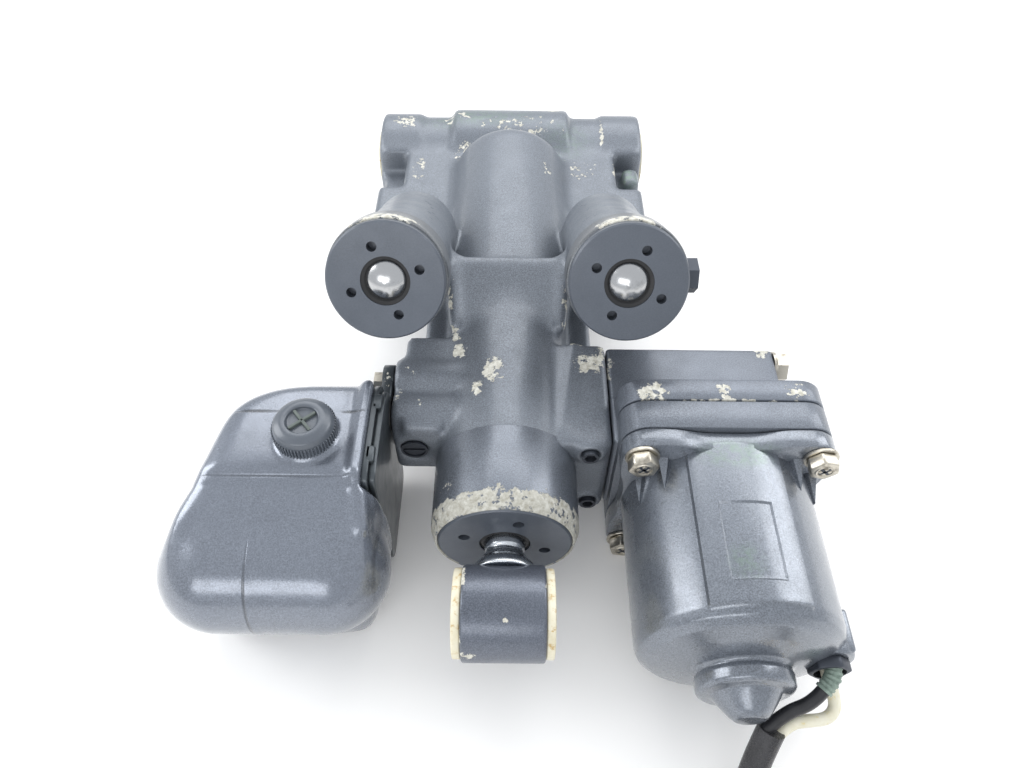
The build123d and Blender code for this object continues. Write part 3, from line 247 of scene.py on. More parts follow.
def cast_mesh(body: Field, low: Point, high: Point, step: float, soft: int = 1) -> tuple:
    """Turn a field into a closed surface of quads with smooth normals.

    Args:
        body: the signed distance field, in millimetres.
        low: lowest corner of the space that holds the body.
        high: highest corner of that space.
        step: size of a cell.
        soft: how many times the field is softened, which rounds every edge.

    Returns:
        Vertices, faces and vertex normals.
    """
    axes = [np.arange(low[i] - 3 * step, high[i] + 3 * step, step, dtype=np.float32) for i in range(3)]
    shape = tuple(len(a) for a in axes)
    values = np.empty(shape, np.float32)
    for i, x in enumerate(axes[0]):
        y, z = np.meshgrid(axes[1], axes[2], indexing="ij")
        points = np.stack([np.full(y.size, x, np.float32), y.ravel(), z.ravel()], 1)
        values[i] = body(points).reshape(shape[1:])
    for _ in range(soft):
        for axis in range(3):
            pad = np.concatenate([values.take([0], axis), values, values.take([-1], axis)], axis)
            n = values.shape[axis]
            values = (pad.take(range(n), axis) + 2 * values + pad.take(range(2, n + 2), axis)) / 4
    slope = np.stack(np.gradient(values), -1)
    inside = values < 0
    corners = np.array([(i, j, k) for i in (0, 1) for j in (0, 1) for k in (0, 1)])
    blocks = [inside[i:shape[0] - 1 + i, j:shape[1] - 1 + j, k:shape[2] - 1 + k] for i, j, k in corners]
    total = sum(b.astype(np.int8) for b in blocks)
    cells = np.argwhere((total > 0) & (total < 8))
    number = np.full([n - 1 for n in shape], -1, np.int64)
    number[tuple(cells.T)] = np.arange(len(cells))
    at_corner = [values[tuple((cells + c).T)] for c in corners]
    grad_corner = [slope[tuple((cells + c).T)] for c in corners]
    place, lean, hits = np.zeros((len(cells), 3)), np.zeros((len(cells), 3)), np.zeros(len(cells))
    for a in range(8):
        for b in range(a + 1, 8):
            if np.abs(corners[a] - corners[b]).sum() != 1:
                continue
            va, vb = at_corner[a], at_corner[b]
            crossing = (va < 0) != (vb < 0)
            t = np.where(crossing, va / np.where(crossing, va - vb, 1), 0)[:, None]
            place += np.where(crossing[:, None], corners[a] + t * (corners[b] - corners[a]), 0)
            lean += np.where(crossing[:, None], (1 - t) * grad_corner[a] + t * grad_corner[b], 0)
            hits += crossing
    vertices = (cells + place / hits[:, None]) * step + [a[0] for a in axes]
    normals = lean / np.maximum(np.linalg.norm(lean, axis=1), 1e-9)[:, None]
    faces = []
    for axis in range(3):
        other = [i for i in range(3) if i != axis]
        first = inside.take(range(shape[axis] - 1), axis)
        second = inside.take(range(1, shape[axis]), axis)
        for leaving in (True, False):
            change = (first & ~second) if leaving else (~first & second)
            spots = np.argwhere(change)
            keep = (spots[:, other[0]] > 0) & (spots[:, other[1]] > 0)
            keep &= (spots[:, other[0]] < shape[other[0]] - 1) & (spots[:, other[1]] < shape[other[1]] - 1)
            spots = spots[keep]
            ring = []
            for du, dv in ((-1, -1), (0, -1), (0, 0), (-1, 0)):
                cell = spots.copy()
                cell[:, other[0]] += du
                cell[:, other[1]] += dv
                ring.append(number[tuple(cell.T)])
            quads = np.stack(ring, 1)
            faces.append(quads if leaving == (axis != 1) else quads[:, ::-1])
    return vertices, np.concatenate(faces), normals


# ---------------------------------------------------------------- plain meshes


def linked(name: str, data: Optional[bpy.types.ID]) -> Piece:
    """A new object in the scene, from a mesh, a curve, a light or a camera."""
    piece = bpy.data.objects.new(name, data)
    bpy.context.scene.collection.objects.link(piece)
    return piece


class Body:
    """A piece in the making: meshes in millimetres, gathered into one object."""

    def __init__(self) -> None:
        """Start with nothing."""
        self.vertices: list = []
        self.faces: list = []

    def add(self, vertices: Sequence, faces: Sequence) -> None:
        """Put one more closed mesh into the piece."""
        base = len(self.vertices)
        self.vertices.extend(tuple(v) for v in vertices)
        self.faces.extend(tuple(base + i for i in face) for face in faces)

    def turn(self, origin: Point, along: Point, outline: Outline, segments: int = 128,
             swell: Optional[Callable[[float, float], float]] = None) -> None:
        """Add a body of revolution.

        Args:
            origin: a point on the axis.
            along: the axis.
            outline: (distance, radius) points; both ends at radius 0, or a closed loop.
            segments: how many steps round the axis.
            swell: extra radius from the angle and the distance along the axis.
        """
        axis = Vector(along).normalized()
        side = axis.cross(Vector((1, 0, 0)) if abs(axis.x) < 0.9 else Vector((0, 0, 1))).normalized()
        up = axis.cross(side)
        closed = outline[0][1] > 1e-6
        rows, points = [], []
        for t, r in outline:
            if r < 1e-6:
                rows.append([len(points)] * segments)
                points.append(Vector(origin) + axis * t)
                continue
            rows.append(list(range(len(points), len(points) + segments)))
            for k in range(segments):
                a = 2 * math.pi * k / segments
                out = r + (swell(a, t) if swell else 0.0)
                points.append(Vector(origin) + axis * t + (side * math.cos(a) + up * math.sin(a)) * out)
        pairs = list(zip(rows, rows[1:])) + ([(rows[-1], rows[0])] if closed else [])
        faces = []
        for first, second in pairs:
            for k in range(segments):
                n = (k + 1) % segments
                ring = [first[k], first[n], second[n], second[k]]
                ring = [v for i, v in enumerate(ring) if v != ring[i - 1]]
                if len(ring) > 2:
                    faces.append(ring)
        self.add(points, faces)

    def plate(self, way: Way, outline: Outline, low: float, high: float, edge: float = 0.8,
              hole: Optional[Outline] = None) -> None:
        """Add an extruded outline with chamfered rims, and a hole through it if one is given."""
        axis = way.value
        u_axis, v_axis = [i for i in range(3) if i != axis]
        middle = (sum(u for u, _ in outline) / len(outline), sum(v for _, v in outline) / len(outline))
        levels = ((low, edge), (low + 0.35 * edge, 0.3 * edge), (low + edge, 0.0),
                  (high - edge, 0.0), (high - 0.35 * edge, 0.3 * edge), (high, edge))
        points, rows = [], []
        size = max(max(abs(u - middle[0]), abs(v - middle[1])) for u, v in outline)
        for place, inset in levels:
            rows.append(list(range(len(points), len(points) + len(outline))))
            for u, v in outline:
                spot = [0.0, 0.0, 0.0]
                spot[axis] = place
                spot[u_axis] = middle[0] + (u - middle[0]) * (1 - inset / size)
                spot[v_axis] = middle[1] + (v - middle[1]) * (1 - inset / size)
                points.append(tuple(spot))
        count = len(outline)
        bands, faces = list(zip(rows, rows[1:])), []
        if hole is None:
            faces = [tuple(reversed(rows[0])), tuple(rows[-1])]
        else:
            inner = []
            for place in (low, high):
                inner.append(list(range(len(points), len(points) + count)))
                for u, v in hole:
                    spot = [0.0, 0.0, 0.0]
                    spot[axis], spot[u_axis], spot[v_axis] = place, u, v
                    points.append(tuple(spot))
            bands += [(rows[0], inner[0]), (rows[-1], inner[1]), (inner[0], inner[1])]
        for first, second in bands:
            faces += [(first[k], first[(k + 1) % count], second[(k + 1) % count], second[k])
                      for k in range(count)]
        self.add(points, faces)

    def block(self, low: Point, high: Point, edge: float = 1.0) -> None:
        """Add a box with round edges."""
        made = bmesh.new()
        bmesh.ops.create_cube(made, size=1.0)
        for v in made.verts:
            v.co = Vector([(low[i] + high[i]) / 2 + v.co[i] * (high[i] - low[i]) for i in range(3)])
        bmesh.ops.bevel(made, geom=made.edges[:], offset=edge, segments=3, affect="EDGES", profile=0.5)
        made.verts.ensure_lookup_table()
        self.add([tuple(v.co) for v in made.verts], [[v.index for v in f.verts] for f in made.faces])
        made.free()

    def finish(self, name: str, material: Material, sharp: float = 32.0) -> Piece:
        """Make the object, with its faces turned outwards and its hard edges kept.

        Args:
            name: the object's name.
            material: what it is made of.
            sharp: the angle above which an edge stays hard, in degrees.

        Returns:
            The new object.
        """
        mesh = bpy.data.meshes.new(name)
        mesh.from_pydata([in_scene(v) for v in self.vertices], [], self.faces)
        work = bmesh.new()
        work.from_mesh(mesh)
        bmesh.ops.recalc_face_normals(work, faces=work.faces[:])
        work.to_mesh(mesh)
        work.free()
        mesh.shade_smooth()
        mesh.set_sharp_from_angle(angle=math.radians(sharp))
        mesh.materials.append(material)
        return linked(name, mesh)


def cast_piece(name: str, made: tuple, material: Material) -> Piece:
    """Make an object from a cast surface, with the field's own normals."""
    vertices, faces, normals = made
    mesh = bpy.data.meshes.new(name)
    mesh.from_pydata(((vertices + HOME) * MM).tolist(), [], faces.tolist())
    mesh.shade_smooth()
    mesh.normals_split_custom_set_from_vertices(normals.tolist())
    mesh.materials.append(material)
    log.info("%s: %d triangles", name, 2 * len(faces))
    return linked(name, mesh)


def settle(piece: Piece, body: str, slot: str, *nodes: str) -> None:
    """Tie a finished piece to its body and hide the nodes it stands for."""
    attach(piece, body)
    if nodes:
        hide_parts(*nodes)
    log.info("%s rides on %s", piece.name, body)


# ---------------------------------------------------------------- materials


class Graph:
    """A material's node tree, with short calls for what the finishes need."""

    def __init__(self, name: str) -> None:
        """Make an empty material with its shader and output."""
        self.material = bpy.data.materials.new(name)
        self.material.use_nodes = True
        self.tree = self.material.node_tree
        self.tree.nodes.clear()
        self.shader = self.tree.nodes.new("ShaderNodeBsdfPrincipled")
        out = self.tree.nodes.new("ShaderNodeOutputMaterial")
        self.tree.links.new(self.shader.outputs[0], out.inputs[0])
        self.place = self.tree.nodes.new("ShaderNodeTexCoord").outputs["Object"]
        split = self.tree.nodes.new("ShaderNodeSeparateXYZ")
        self.tree.links.new(self.place, split.inputs[0])
        self.x, self.y, self.z = split.outputs

    def plug(self, socket: Socket, value: Value) -> None:
        """Link a socket to another, or set its value."""
        if isinstance(value, Socket):
            self.tree.links.new(value, socket)
        elif isinstance(value, tuple) and len(value) == 3 and socket.type == "RGBA":
            socket.default_value = (*value, 1.0)
        else:
            socket.default_value = value

    def set(self, **values: Value) -> None:
        """Set the shader's sockets by name, with spaces as underscores."""
        for name, value in values.items():
            self.plug(self.shader.inputs[name.replace("_", " ")], value)

    def math(self, operation: str, a: Value, b: Value) -> Socket:
        """One math node."""
        node = self.tree.nodes.new("ShaderNodeMath")
        node.operation = operation
        self.plug(node.inputs[0], a)
        self.plug(node.inputs[1], b)
        return node.outputs[0]

    def mix(self, share: Value, a: Value, b: Value) -> Socket:
        """A colour between two colours."""
        node = self.tree.nodes.new("ShaderNodeMix")
        node.data_type = "RGBA"
        self.plug(node.inputs[0], share)
        self.plug(node.inputs[6], a)
        self.plug(node.inputs[7], b)
        return node.outputs[2]

    def span(self, value: Value, low: float, high: float, to_low: float = 0.0,
             to_high: float = 1.0) -> Socket:
        """A value carried from one range to another, clamped."""
        node = self.tree.nodes.new("ShaderNodeMapRange")
        for i, v in enumerate((value, low, high, to_low, to_high)):
            self.plug(node.inputs[i], v)
        return node.outputs[0]

    def noise(self, size: float, detail: float = 3.0, rough: float = 0.55,
              stretch: Optional[Point] = None) -> Socket:
        """Noise with features of a size in millimetres, stretched along the axes if asked."""
        node = self.tree.nodes.new("ShaderNodeTexNoise")
        node.inputs["Scale"].default_value = 1.0 / (size * MM)
        node.inputs["Detail"].default_value = detail
        node.inputs["Roughness"].default_value = rough
        source = self.place
        if stretch:
            mapping = self.tree.nodes.new("ShaderNodeMapping")
            mapping.inputs["Scale"].default_value = stretch
            self.tree.links.new(source, mapping.inputs[0])
            source = mapping.outputs[0]
        self.tree.links.new(source, node.inputs["Vector"])
        return node.outputs["Fac"]

    def near(self, spot: Point, reach: Point) -> Socket:
        """1 at a spot, falling to 0 at the edge of an ellipsoid round it; sizes in millimetres."""
        mapping = self.tree.nodes.new("ShaderNodeMapping")
        mapping.vector_type = "POINT"
        scale = [1.0 / (r * MM) for r in reach]
        mapping.inputs["Scale"].default_value = scale
        mapping.inputs["Location"].default_value = [-h * s for h, s in zip(in_scene(spot), scale)]
        self.tree.links.new(self.place, mapping.inputs[0])
        length = self.tree.nodes.new("ShaderNodeVectorMath")
        length.operation = "LENGTH"
        self.tree.links.new(mapping.outputs[0], length.inputs[0])
        return self.span(length.outputs["Value"], 1.0, 0.35)

    def worst(self, patches: tuple) -> Value:
        """The strongest of several patches at each place, or 0.0 if there are none."""
        result: Value = 0.0
        for patch in patches:
            share = self.math("MULTIPLY", self.near(patch.spot, patch.reach), patch.amount)
            result = share if isinstance(result, float) else self.math("MAXIMUM", result, share)
        return result

    def bump(self, height: Value, depth: float, strength: float = 1.0) -> None:
        """Raise the surface by a height map, with its depth in millimetres."""
        node = self.tree.nodes.new("ShaderNodeBump")
        node.inputs["Strength"].default_value = strength
        node.inputs["Distance"].default_value = depth * MM
        self.plug(node.inputs["Height"], height)
        self.tree.links.new(node.outputs[0], self.shader.inputs["Normal"])


@dataclass(frozen=True)
class Patch:
    """A place where the paint is worn or stained."""

    spot: Point
    reach: Point
    amount: float = 1.0


@dataclass(frozen=True)
class Paint:
    """Blue-grey metallic boat paint, with chips down to the chalky metal."""

    name: str
    colour: tuple = (0.062, 0.074, 0.098)
    roughness: float = 0.40
    metallic: float = 0.55
    chips: tuple = ()
    stains: tuple = ()
    bare_front: float = 0.0
    sparkle: float = 0.5
    chalk: float = 1.0
    coat: float = 0.25
    # places where the colour is darkened as painted shade: creases, grooves and joints
    shaded_creases: tuple = ()

    FLECK_SIZE = 0.55
    DARK_CHALK = (0.42, 0.40, 0.33)
    LIGHT_CHALK = (0.74, 0.73, 0.66)
    PATINA = (0.17, 0.235, 0.19)
    STRAY_CHIPS = 0.12
    BARE_ROUGHNESS = 0.85
    COAT_ROUGHNESS = 0.14
    EDGE_FADE = 2.5

    def build(self) -> Material:
        """Make the material."""
        g = Graph(self.name)
        cloud = g.noise(60, 3)
        fleck = g.noise(self.FLECK_SIZE, 1.5, 0.6)
        dark = tuple(c * (1 - 0.42 * self.sparkle) for c in self.colour)
        light = tuple(c * (1 + 0.85 * self.sparkle) for c in self.colour)
        colour = g.mix(g.span(fleck, 0.36, 0.66), dark, light)
        colour = g.mix(g.span(cloud, 0.35, 0.65, 0.0, 0.35), colour, tuple(c * 1.35 for c in self.colour))
        rag = g.noise(4.2, 7, 0.68)
        chip = g.worst(self.chips)
        if self.bare_front:
            middle = HOME[1] + self.bare_front
            edge = g.span(g.y, (middle + self.EDGE_FADE) * MM, (middle - self.EDGE_FADE) * MM)
            chip = edge if isinstance(chip, float) else g.math("MAXIMUM", chip, edge)
        if isinstance(chip, float):
            chip = self.STRAY_CHIPS
        line = g.math("SUBTRACT", 0.80, g.math("MULTIPLY", chip, 0.38))
        bare = g.span(g.math("SUBTRACT", rag, line), 0.0, 0.012)
        chalks = [tuple(c * self.chalk for c in tone) for tone in (self.DARK_CHALK, self.LIGHT_CHALK)]
        chalk = g.mix(g.span(g.noise(2.2, 5, 0.7), 0.35, 0.65), *chalks)
        for patch in self.stains:
            share = g.math("MULTIPLY", g.near(patch.spot, patch.reach), g.span(g.noise(3.5, 5, 0.7), 0.4, 0.6))
            colour = g.mix(g.math("MULTIPLY", share, patch.amount), colour, self.PATINA)
        # painted shade: the colour is darkened almost to black in the creases; the same mask also sinks the
        # surface
        shaded_crease = g.worst(self.shaded_creases)
        colour = g.mix(g.math("MULTIPLY", shaded_crease, 0.75), colour, tuple(0.12 * c for c in self.colour))
        g.set(Base_Color=g.mix(bare, colour, chalk),
              Roughness=g.math("ADD", g.span(bare, 0, 1, self.roughness, self.BARE_ROUGHNESS),
                               g.span(g.noise(9, 4), 0.3, 0.7, -0.05, 0.07)),
              Metallic=g.span(bare, 0, 1, self.metallic, 0.0),
              Coat_Weight=self.coat, Coat_Roughness=self.COAT_ROUGHNESS)
        relief = g.math("ADD", g.math("MULTIPLY", bare, -0.6), g.math("MULTIPLY", g.noise(1.6, 3), 0.22))
        g.bump(g.math("SUBTRACT", relief, g.math("MULTIPLY", shaded_crease, 2.2)), 0.25, 0.8)
        return g.material


@dataclass(frozen=True)
class Metal:
    """Bare metal: turned, ground or plated."""

    name: str
    colour: tuple
    roughness: float
    dirt: float = 0.2
    metallic: float = 1.0
    dirt_colour: tuple = (0.05, 0.045, 0.04)

    def build(self) -> Material:
        """Make the material."""
        g = Graph(self.name)
        grime = g.span(g.noise(6, 6, 0.65), 0.62 - 0.25 * self.dirt, 0.75)
        scratch = g.noise(0.5, 3, 0.6, (1.0, 9.0, 1.0))
        tint = g.mix(g.span(scratch, 0.3, 0.7), tuple(0.85 * c for c in self.colour), self.colour)
        g.set(Base_Color=g.mix(g.math("MULTIPLY", grime, min(1.0, 2.5 * self.dirt)), tint, self.dirt_colour),
              Metallic=self.metallic,
              Roughness=g.math("ADD", g.span(scratch, 0.3, 0.7, self.roughness, self.roughness * 1.35),
                               g.math("MULTIPLY", grime, 0.3 * self.dirt)))
        g.bump(scratch, 0.02, 0.35)
        return g.material


@dataclass(frozen=True)
class Plain:
    """Plastic, rubber or wire covering, with mottling and small scratches."""

    name: str
    colour: tuple
    second: tuple
    roughness: float
    size: float = 8.0
    grain: float = 0.05
    stain: float = 0.0
    stain_colour: tuple = (0.45, 0.27, 0.06)

    def build(self) -> Material:
        """Make the material."""
        g = Graph(self.name)
        colour: Value = g.mix(g.span(g.noise(self.size, 5, 0.6), 0.35, 0.65), self.colour, self.second)
        if self.stain:
            spots = g.span(g.noise(3.0, 6, 0.7), 0.66 - 0.12 * self.stain, 0.70)
            colour = g.mix(spots, colour, self.stain_colour)
        fine = g.noise(0.7, 4, 0.6)
        g.set(Base_Color=colour,
              Roughness=g.span(fine, 0.3, 0.7, self.roughness - 0.06, self.roughness + 0.08))
        g.bump(fine, self.grain, 0.6)
        return g.material


# ---------------------------------------------------------------- repeated detail by geometry nodes


def ring_tree(name: str) -> Tree:
    """A node tree that sets copies of an object on a circle about the Z axis, then places the circle."""
    tree = bpy.data.node_groups.new(name, "GeometryNodeTree")
    for label, kind, default in (("Part", "NodeSocketObject", None), ("Count", "NodeSocketInt", 4),
                                 ("Radius", "NodeSocketFloat", 0.01), ("First", "NodeSocketFloat", 0.0),
                                 ("Tilt", "NodeSocketRotation", None), ("Place", "NodeSocketVector", None),
                                 ("Finish", "NodeSocketMaterial", None)):
        socket = tree.interface.new_socket(label, in_out="INPUT", socket_type=kind)
        if default is not None:
            socket.default_value = default
    tree.interface.new_socket("Geometry", in_out="OUTPUT", socket_type="NodeSocketGeometry")
    make, link = tree.nodes.new, tree.links.new
    start, end = make("NodeGroupInput"), make("NodeGroupOutput")
    circle, info = make("GeometryNodeMeshCircle"), make("GeometryNodeObjectInfo")
    copies, index = make("GeometryNodeInstanceOnPoints"), make("GeometryNodeInputIndex")
    angle, share = make("ShaderNodeMath"), make("ShaderNodeMath")
    spin, first = make("ShaderNodeCombineXYZ"), make("ShaderNodeCombineXYZ")
    turn, place = make("GeometryNodeTransform"), make("GeometryNodeTransform")
    real, dress = make("GeometryNodeRealizeInstances"), make("GeometryNodeSetMaterial")
    link(start.outputs["Count"], circle.inputs["Vertices"])
    link(start.outputs["Radius"], circle.inputs["Radius"])
    link(start.outputs["Part"], info.inputs["Object"])
    link(circle.outputs[0], copies.inputs["Points"])
    link(info.outputs["Geometry"], copies.inputs["Instance"])
    share.operation, angle.operation = "DIVIDE", "MULTIPLY"
    share.inputs[0].default_value = 2 * math.pi
    link(start.outputs["Count"], share.inputs[1])
    link(index.outputs[0], angle.inputs[0])
    link(share.outputs[0], angle.inputs[1])
    link(angle.outputs[0], spin.inputs["Z"])
    link(spin.outputs[0], copies.inputs["Rotation"])
    link(start.outputs["First"], first.inputs["Z"])
    link(copies.outputs[0], turn.inputs["Geometry"])
    link(first.outputs[0], turn.inputs["Rotation"])
    link(turn.outputs[0], place.inputs["Geometry"])
    link(start.outputs["Tilt"], place.inputs["Rotation"])
    link(start.outputs["Place"], place.inputs["Translation"])
    link(place.outputs[0], real.inputs[0])
    link(real.outputs[0], dress.inputs["Geometry"])
    link(start.outputs["Finish"], dress.inputs["Material"])
    link(dress.outputs[0], end.inputs[0])
    return tree


def ring_of(name: str, tree: Tree, part: Body, count: int, radius: float,
            place: Point, material: Material, tilt: Point = (0.0, 0.0, 0.0),
            first: float = 0.0) -> Piece:
    """Copies of one part on a circle, made a plain mesh.

    Args:
        name: the new object's name.
        tree: the node tree from ring_tree.
        part: the part, about the row frame's origin with its axis along Z.
        count: how many copies.
        radius: the circle's radius, in millimetres.
        place: the circle's middle, in the unit's frame.
        material: what the copies are made of.
        tilt: turn of the whole circle about X, Y and Z, in degrees.
        first: angle of the first copy, in degrees.

    Returns:
        The new object.
    """
    pattern = part.finish(name + "_pattern", material)
    pattern.data.transform(Matrix.Translation(Vector([float(-v * MM) for v in HOME])))
    holder = linked(name + "_holder", bpy.data.meshes.new(name + "_holder"))
    modifier = holder.modifiers.new("ring", "NODES")
    modifier.node_group = tree
    values = {"Part": pattern, "Count": count, "Radius": radius * MM, "First": math.radians(first),
              "Tilt": Euler([math.radians(a) for a in tilt]), "Place": in_scene(place), "Finish": material}
    for item in tree.interface.items_tree:
        if item.in_out == "INPUT":
            modifier[item.identifier] = values[item.name]
    graph = bpy.context.evaluated_depsgraph_get()
    mesh = bpy.data.meshes.new_from_object(holder.evaluated_get(graph))
    mesh.name = name
    if not mesh.materials:
        mesh.materials.append(material)
    piece = linked(name, mesh)
    for spare in (holder, pattern):
        bpy.data.objects.remove(spare)
    return piece


def socket_bolt(across: float, head: float, washer: float, length: float = 18.0) -> Body:
    """A hexagon bolt with a cross recess and its washer, about the origin with its head towards +Z."""
    part = Body()
    lift, hole, shank, soft, arm = 1.5, 3.4, 3.2, 0.4, 0.75
    part.turn((0, 0, 0), AXIS_Z, [(0, hole), (0, washer - soft), (0.3, washer), (lift - 0.3, washer),
                                  (lift, washer - soft), (lift, hole)], 40)
    hexagon = polygon((0, 0), across / math.sqrt(3), 6)
    part.plate(Way.UP, soften(hexagon, 0.7, 2), lift, lift + head, 0.9)
    # raised rim round the recess, with the cross standing proud inside it
    part.turn((0, 0, lift), AXIS_Z, [(head - 0.5, 3.0), (head + 0.25, 3.3), (head + 0.35, 3.9),
                                     (head - 0.2, 4.6)], 32)
    for x, y in polygon((0, 0), 2.0, 4, 45):
        part.block((x - arm, y - arm, lift + head - 0.3), (x + arm, y + arm, lift + head + 0.3), 0.2)
    part.turn((0, 0, 0), AXIS_Z, [(-length, 0), (-length, shank), (0.5, shank), (0.5, 0)], 24)
    return part


# ---------------------------------------------------------------- sub-assemblies


@dataclass
class Casting:
    """The main casting: three barrels, pivot tube, bridge and joint faces."""

    barrel: float = 32.3
    head: float = 33.6
    head_length: float = 42.0
    rear: float = 36.0
    rear_from: float = 142.0
    bore_end: float = 262.0
    pivot_y: float = 305.0
    pivot_z: float = -14.0
    tube: float = 27.0
    half_width: float = 87.5
    tilt_bore: float = 24.8
    trim_bore: float = 20.0
    cell: float = 1.76

    def trim_lines(self) -> list[tuple[Point, Point]]:
        """The start and direction of both trim barrels' axes."""
        return [((side * TRIM_X, TRIM_Y, TRIM_Z), TRIM_ALONG) for side in SIDES]

    def field(self) -> Field:
        """The casting's distance field."""
        middle = (0, 0, 0)
        bulge = 19
        dome = [(self.bore_end + bulge * math.sin(math.radians(a)), self.rear * math.cos(math.radians(a)))
                for a in range(0, 91, 10)]
        dome[-1] = (dome[-1][0], 0.0)
        front = bar(middle, AXIS_Y, 38, self.rear_from, self.barrel)
        rear = turned(middle, AXIS_Y, [(136, 0), (136, 33), (self.rear_from + 1, self.rear - 0.4)] + dome)
        trims = [turned(*line, [(19, 0), (19, 26.4), (24, 26), (36, 23.2), (114, 23.2), (114, 0)])
                 for line in self.trim_lines()]
        pivot = (0, self.pivot_y, self.pivot_z)
        half, lug, tube, boss = self.half_width, 29, self.tube, 32
        right_half = [(38, boss), (40.5, tube), (59.5, tube), (61, lug), (half, lug), (half, 0)]
        tube = turned(pivot, AXIS_X, [(-x, r) for x, r in reversed(right_half)] + right_half)
        web = merge(8, slab((-84, 212, -38), (84, 302, 8), 3), slab((-44, 92, -26), (44, 216, 10), 3),
                    slab((-62, 150, -20), (62, 216, 4), 3))
        profile = [(100, -5), (106, 24), (112, 28.4), (120, 31.2), (130, 35), (140, 39), (146, 40.2),
                   (146, -5)]
        across = [(-32, 147), (32, 147), (27.5, 104), (27.5, 98), (-27.5, 98), (-27.5, 104)]
        bridge = common(1.0, prism(Way.ACROSS, profile, -40, 40, 0.1), prism(Way.UP, across, -20, 60, 0.1))
        rims = merge(2, *(rod((s * 29.5, 144, 38.6), (s * 26.5, 108, 27), 2.6) for s in SIDES))
        bridge = merge(5, bridge, rims)
        right = slab((18, 38, -32), (49, 99, 24), 2)
        ridge = rod((33, 96, 23), (26, 46, 22), 3.0)
        bosses = [bar((0, y, z), TO_LEFT, start, 54.8, r)
                  for y, z, start, r in ((80, 14, 20, 12), (80, -22, 12, 10), (61, 14, 20, 10))]
        left = merge(2, slab((-51, 86, -18), (-20, 104, 23), 2), *bosses,
                     slab((-54, 46, -12), (-22, 62, 15), 2.5), bar((0, 52, 17), TO_LEFT, 30, 49, 5))
        feet = [slab((s * 74.5 - 13, 285, -50), (s * 74.5 + 13, 325, -14), 3) for s in SIDES]
        plug_spots = ((39, 17), (41, -25))
        plugs = [bar((x, 35, z), AXIS_Y, 0, 6, 7) for x, z in plug_spots]
        body = merge(4, merge(7, rear, web, tube), *feet)
        body = merge(5, body, *trims)
        body = merge(3.5, merge(5, body, left), merge(2.0, merge(3, right, ridge), front))
        body = merge(3.5, body, bridge)
        body = merge(1.5, body, *plugs)
        body = cut(2.0, body, *(slab((min(s * 68.5, s * 96), 245, -8), (max(s * 68.5, s * 96), 280, 60), 2)
                                for s in SIDES))
        body = merge(2.0, body, slab((74, 258, -14), (85, 275, 1.5), 3.5))
        # the bores are a little wider than the pistons, whose walls these coarse cells would cut
        holes = [bar(middle, AXIS_Y, 20, self.bore_end, self.tilt_bore), bar(pivot, AXIS_X, -95, 95, 14),
                 bar((-44, 40, 5), AXIS_Y, 0, 9.2, 6.5), rod((21.6, 44, 27.0), (21.6, 98, 27.0), 2.4)]
        holes += [bar(*line, 10, 104.5, self.trim_bore) for line in self.trim_lines()]
        holes += [bar((x, 33, z), AXIS_Y, 0, 8, 4.1) for x, z in plug_spots]
        return cut(0.8, body, *holes)

    def build(self, paint: Material, head_paint: Material,
              trim_paint: Material) -> None:
        """Make the cast body and the turned heads of its three barrels."""
        made = cast_mesh(self.field(), (-91, 18, -50), (91, 338, 90), self.cell)
        settle(cast_piece("casting_body", made, paint), "frame", "grey_paint", "main_casting")
        front = Body()
        end, bore, thread = self.head_length, 24.1, 27.6
        front.turn((0, 0, 0), AXIS_Y, soften([
            (0.6, 30.3), (0.2, 31.2), (6.0, self.head), (end, self.head), (end + 0.4, bore), (32.9, bore),
            (32.9, thread), (5.1, thread), (5.1, 30.3)], 0.6, 2), 160)
        settle(front.finish("tilt_barrel_head", head_paint, 40), "frame", "grey_paint")
        heads = Body()
        for origin, along in self.trim_lines():
            heads.turn(origin, along, soften([(4.8, 22.2), (4.8, 27.1), (7.0, 27.5), (20.5, 27.2), (23, 26.0),
                                              (23, 22.2)], 0.7, 2), 128)
        settle(heads.finish("trim_barrel_heads", trim_paint, 40), "frame", "grey_paint")


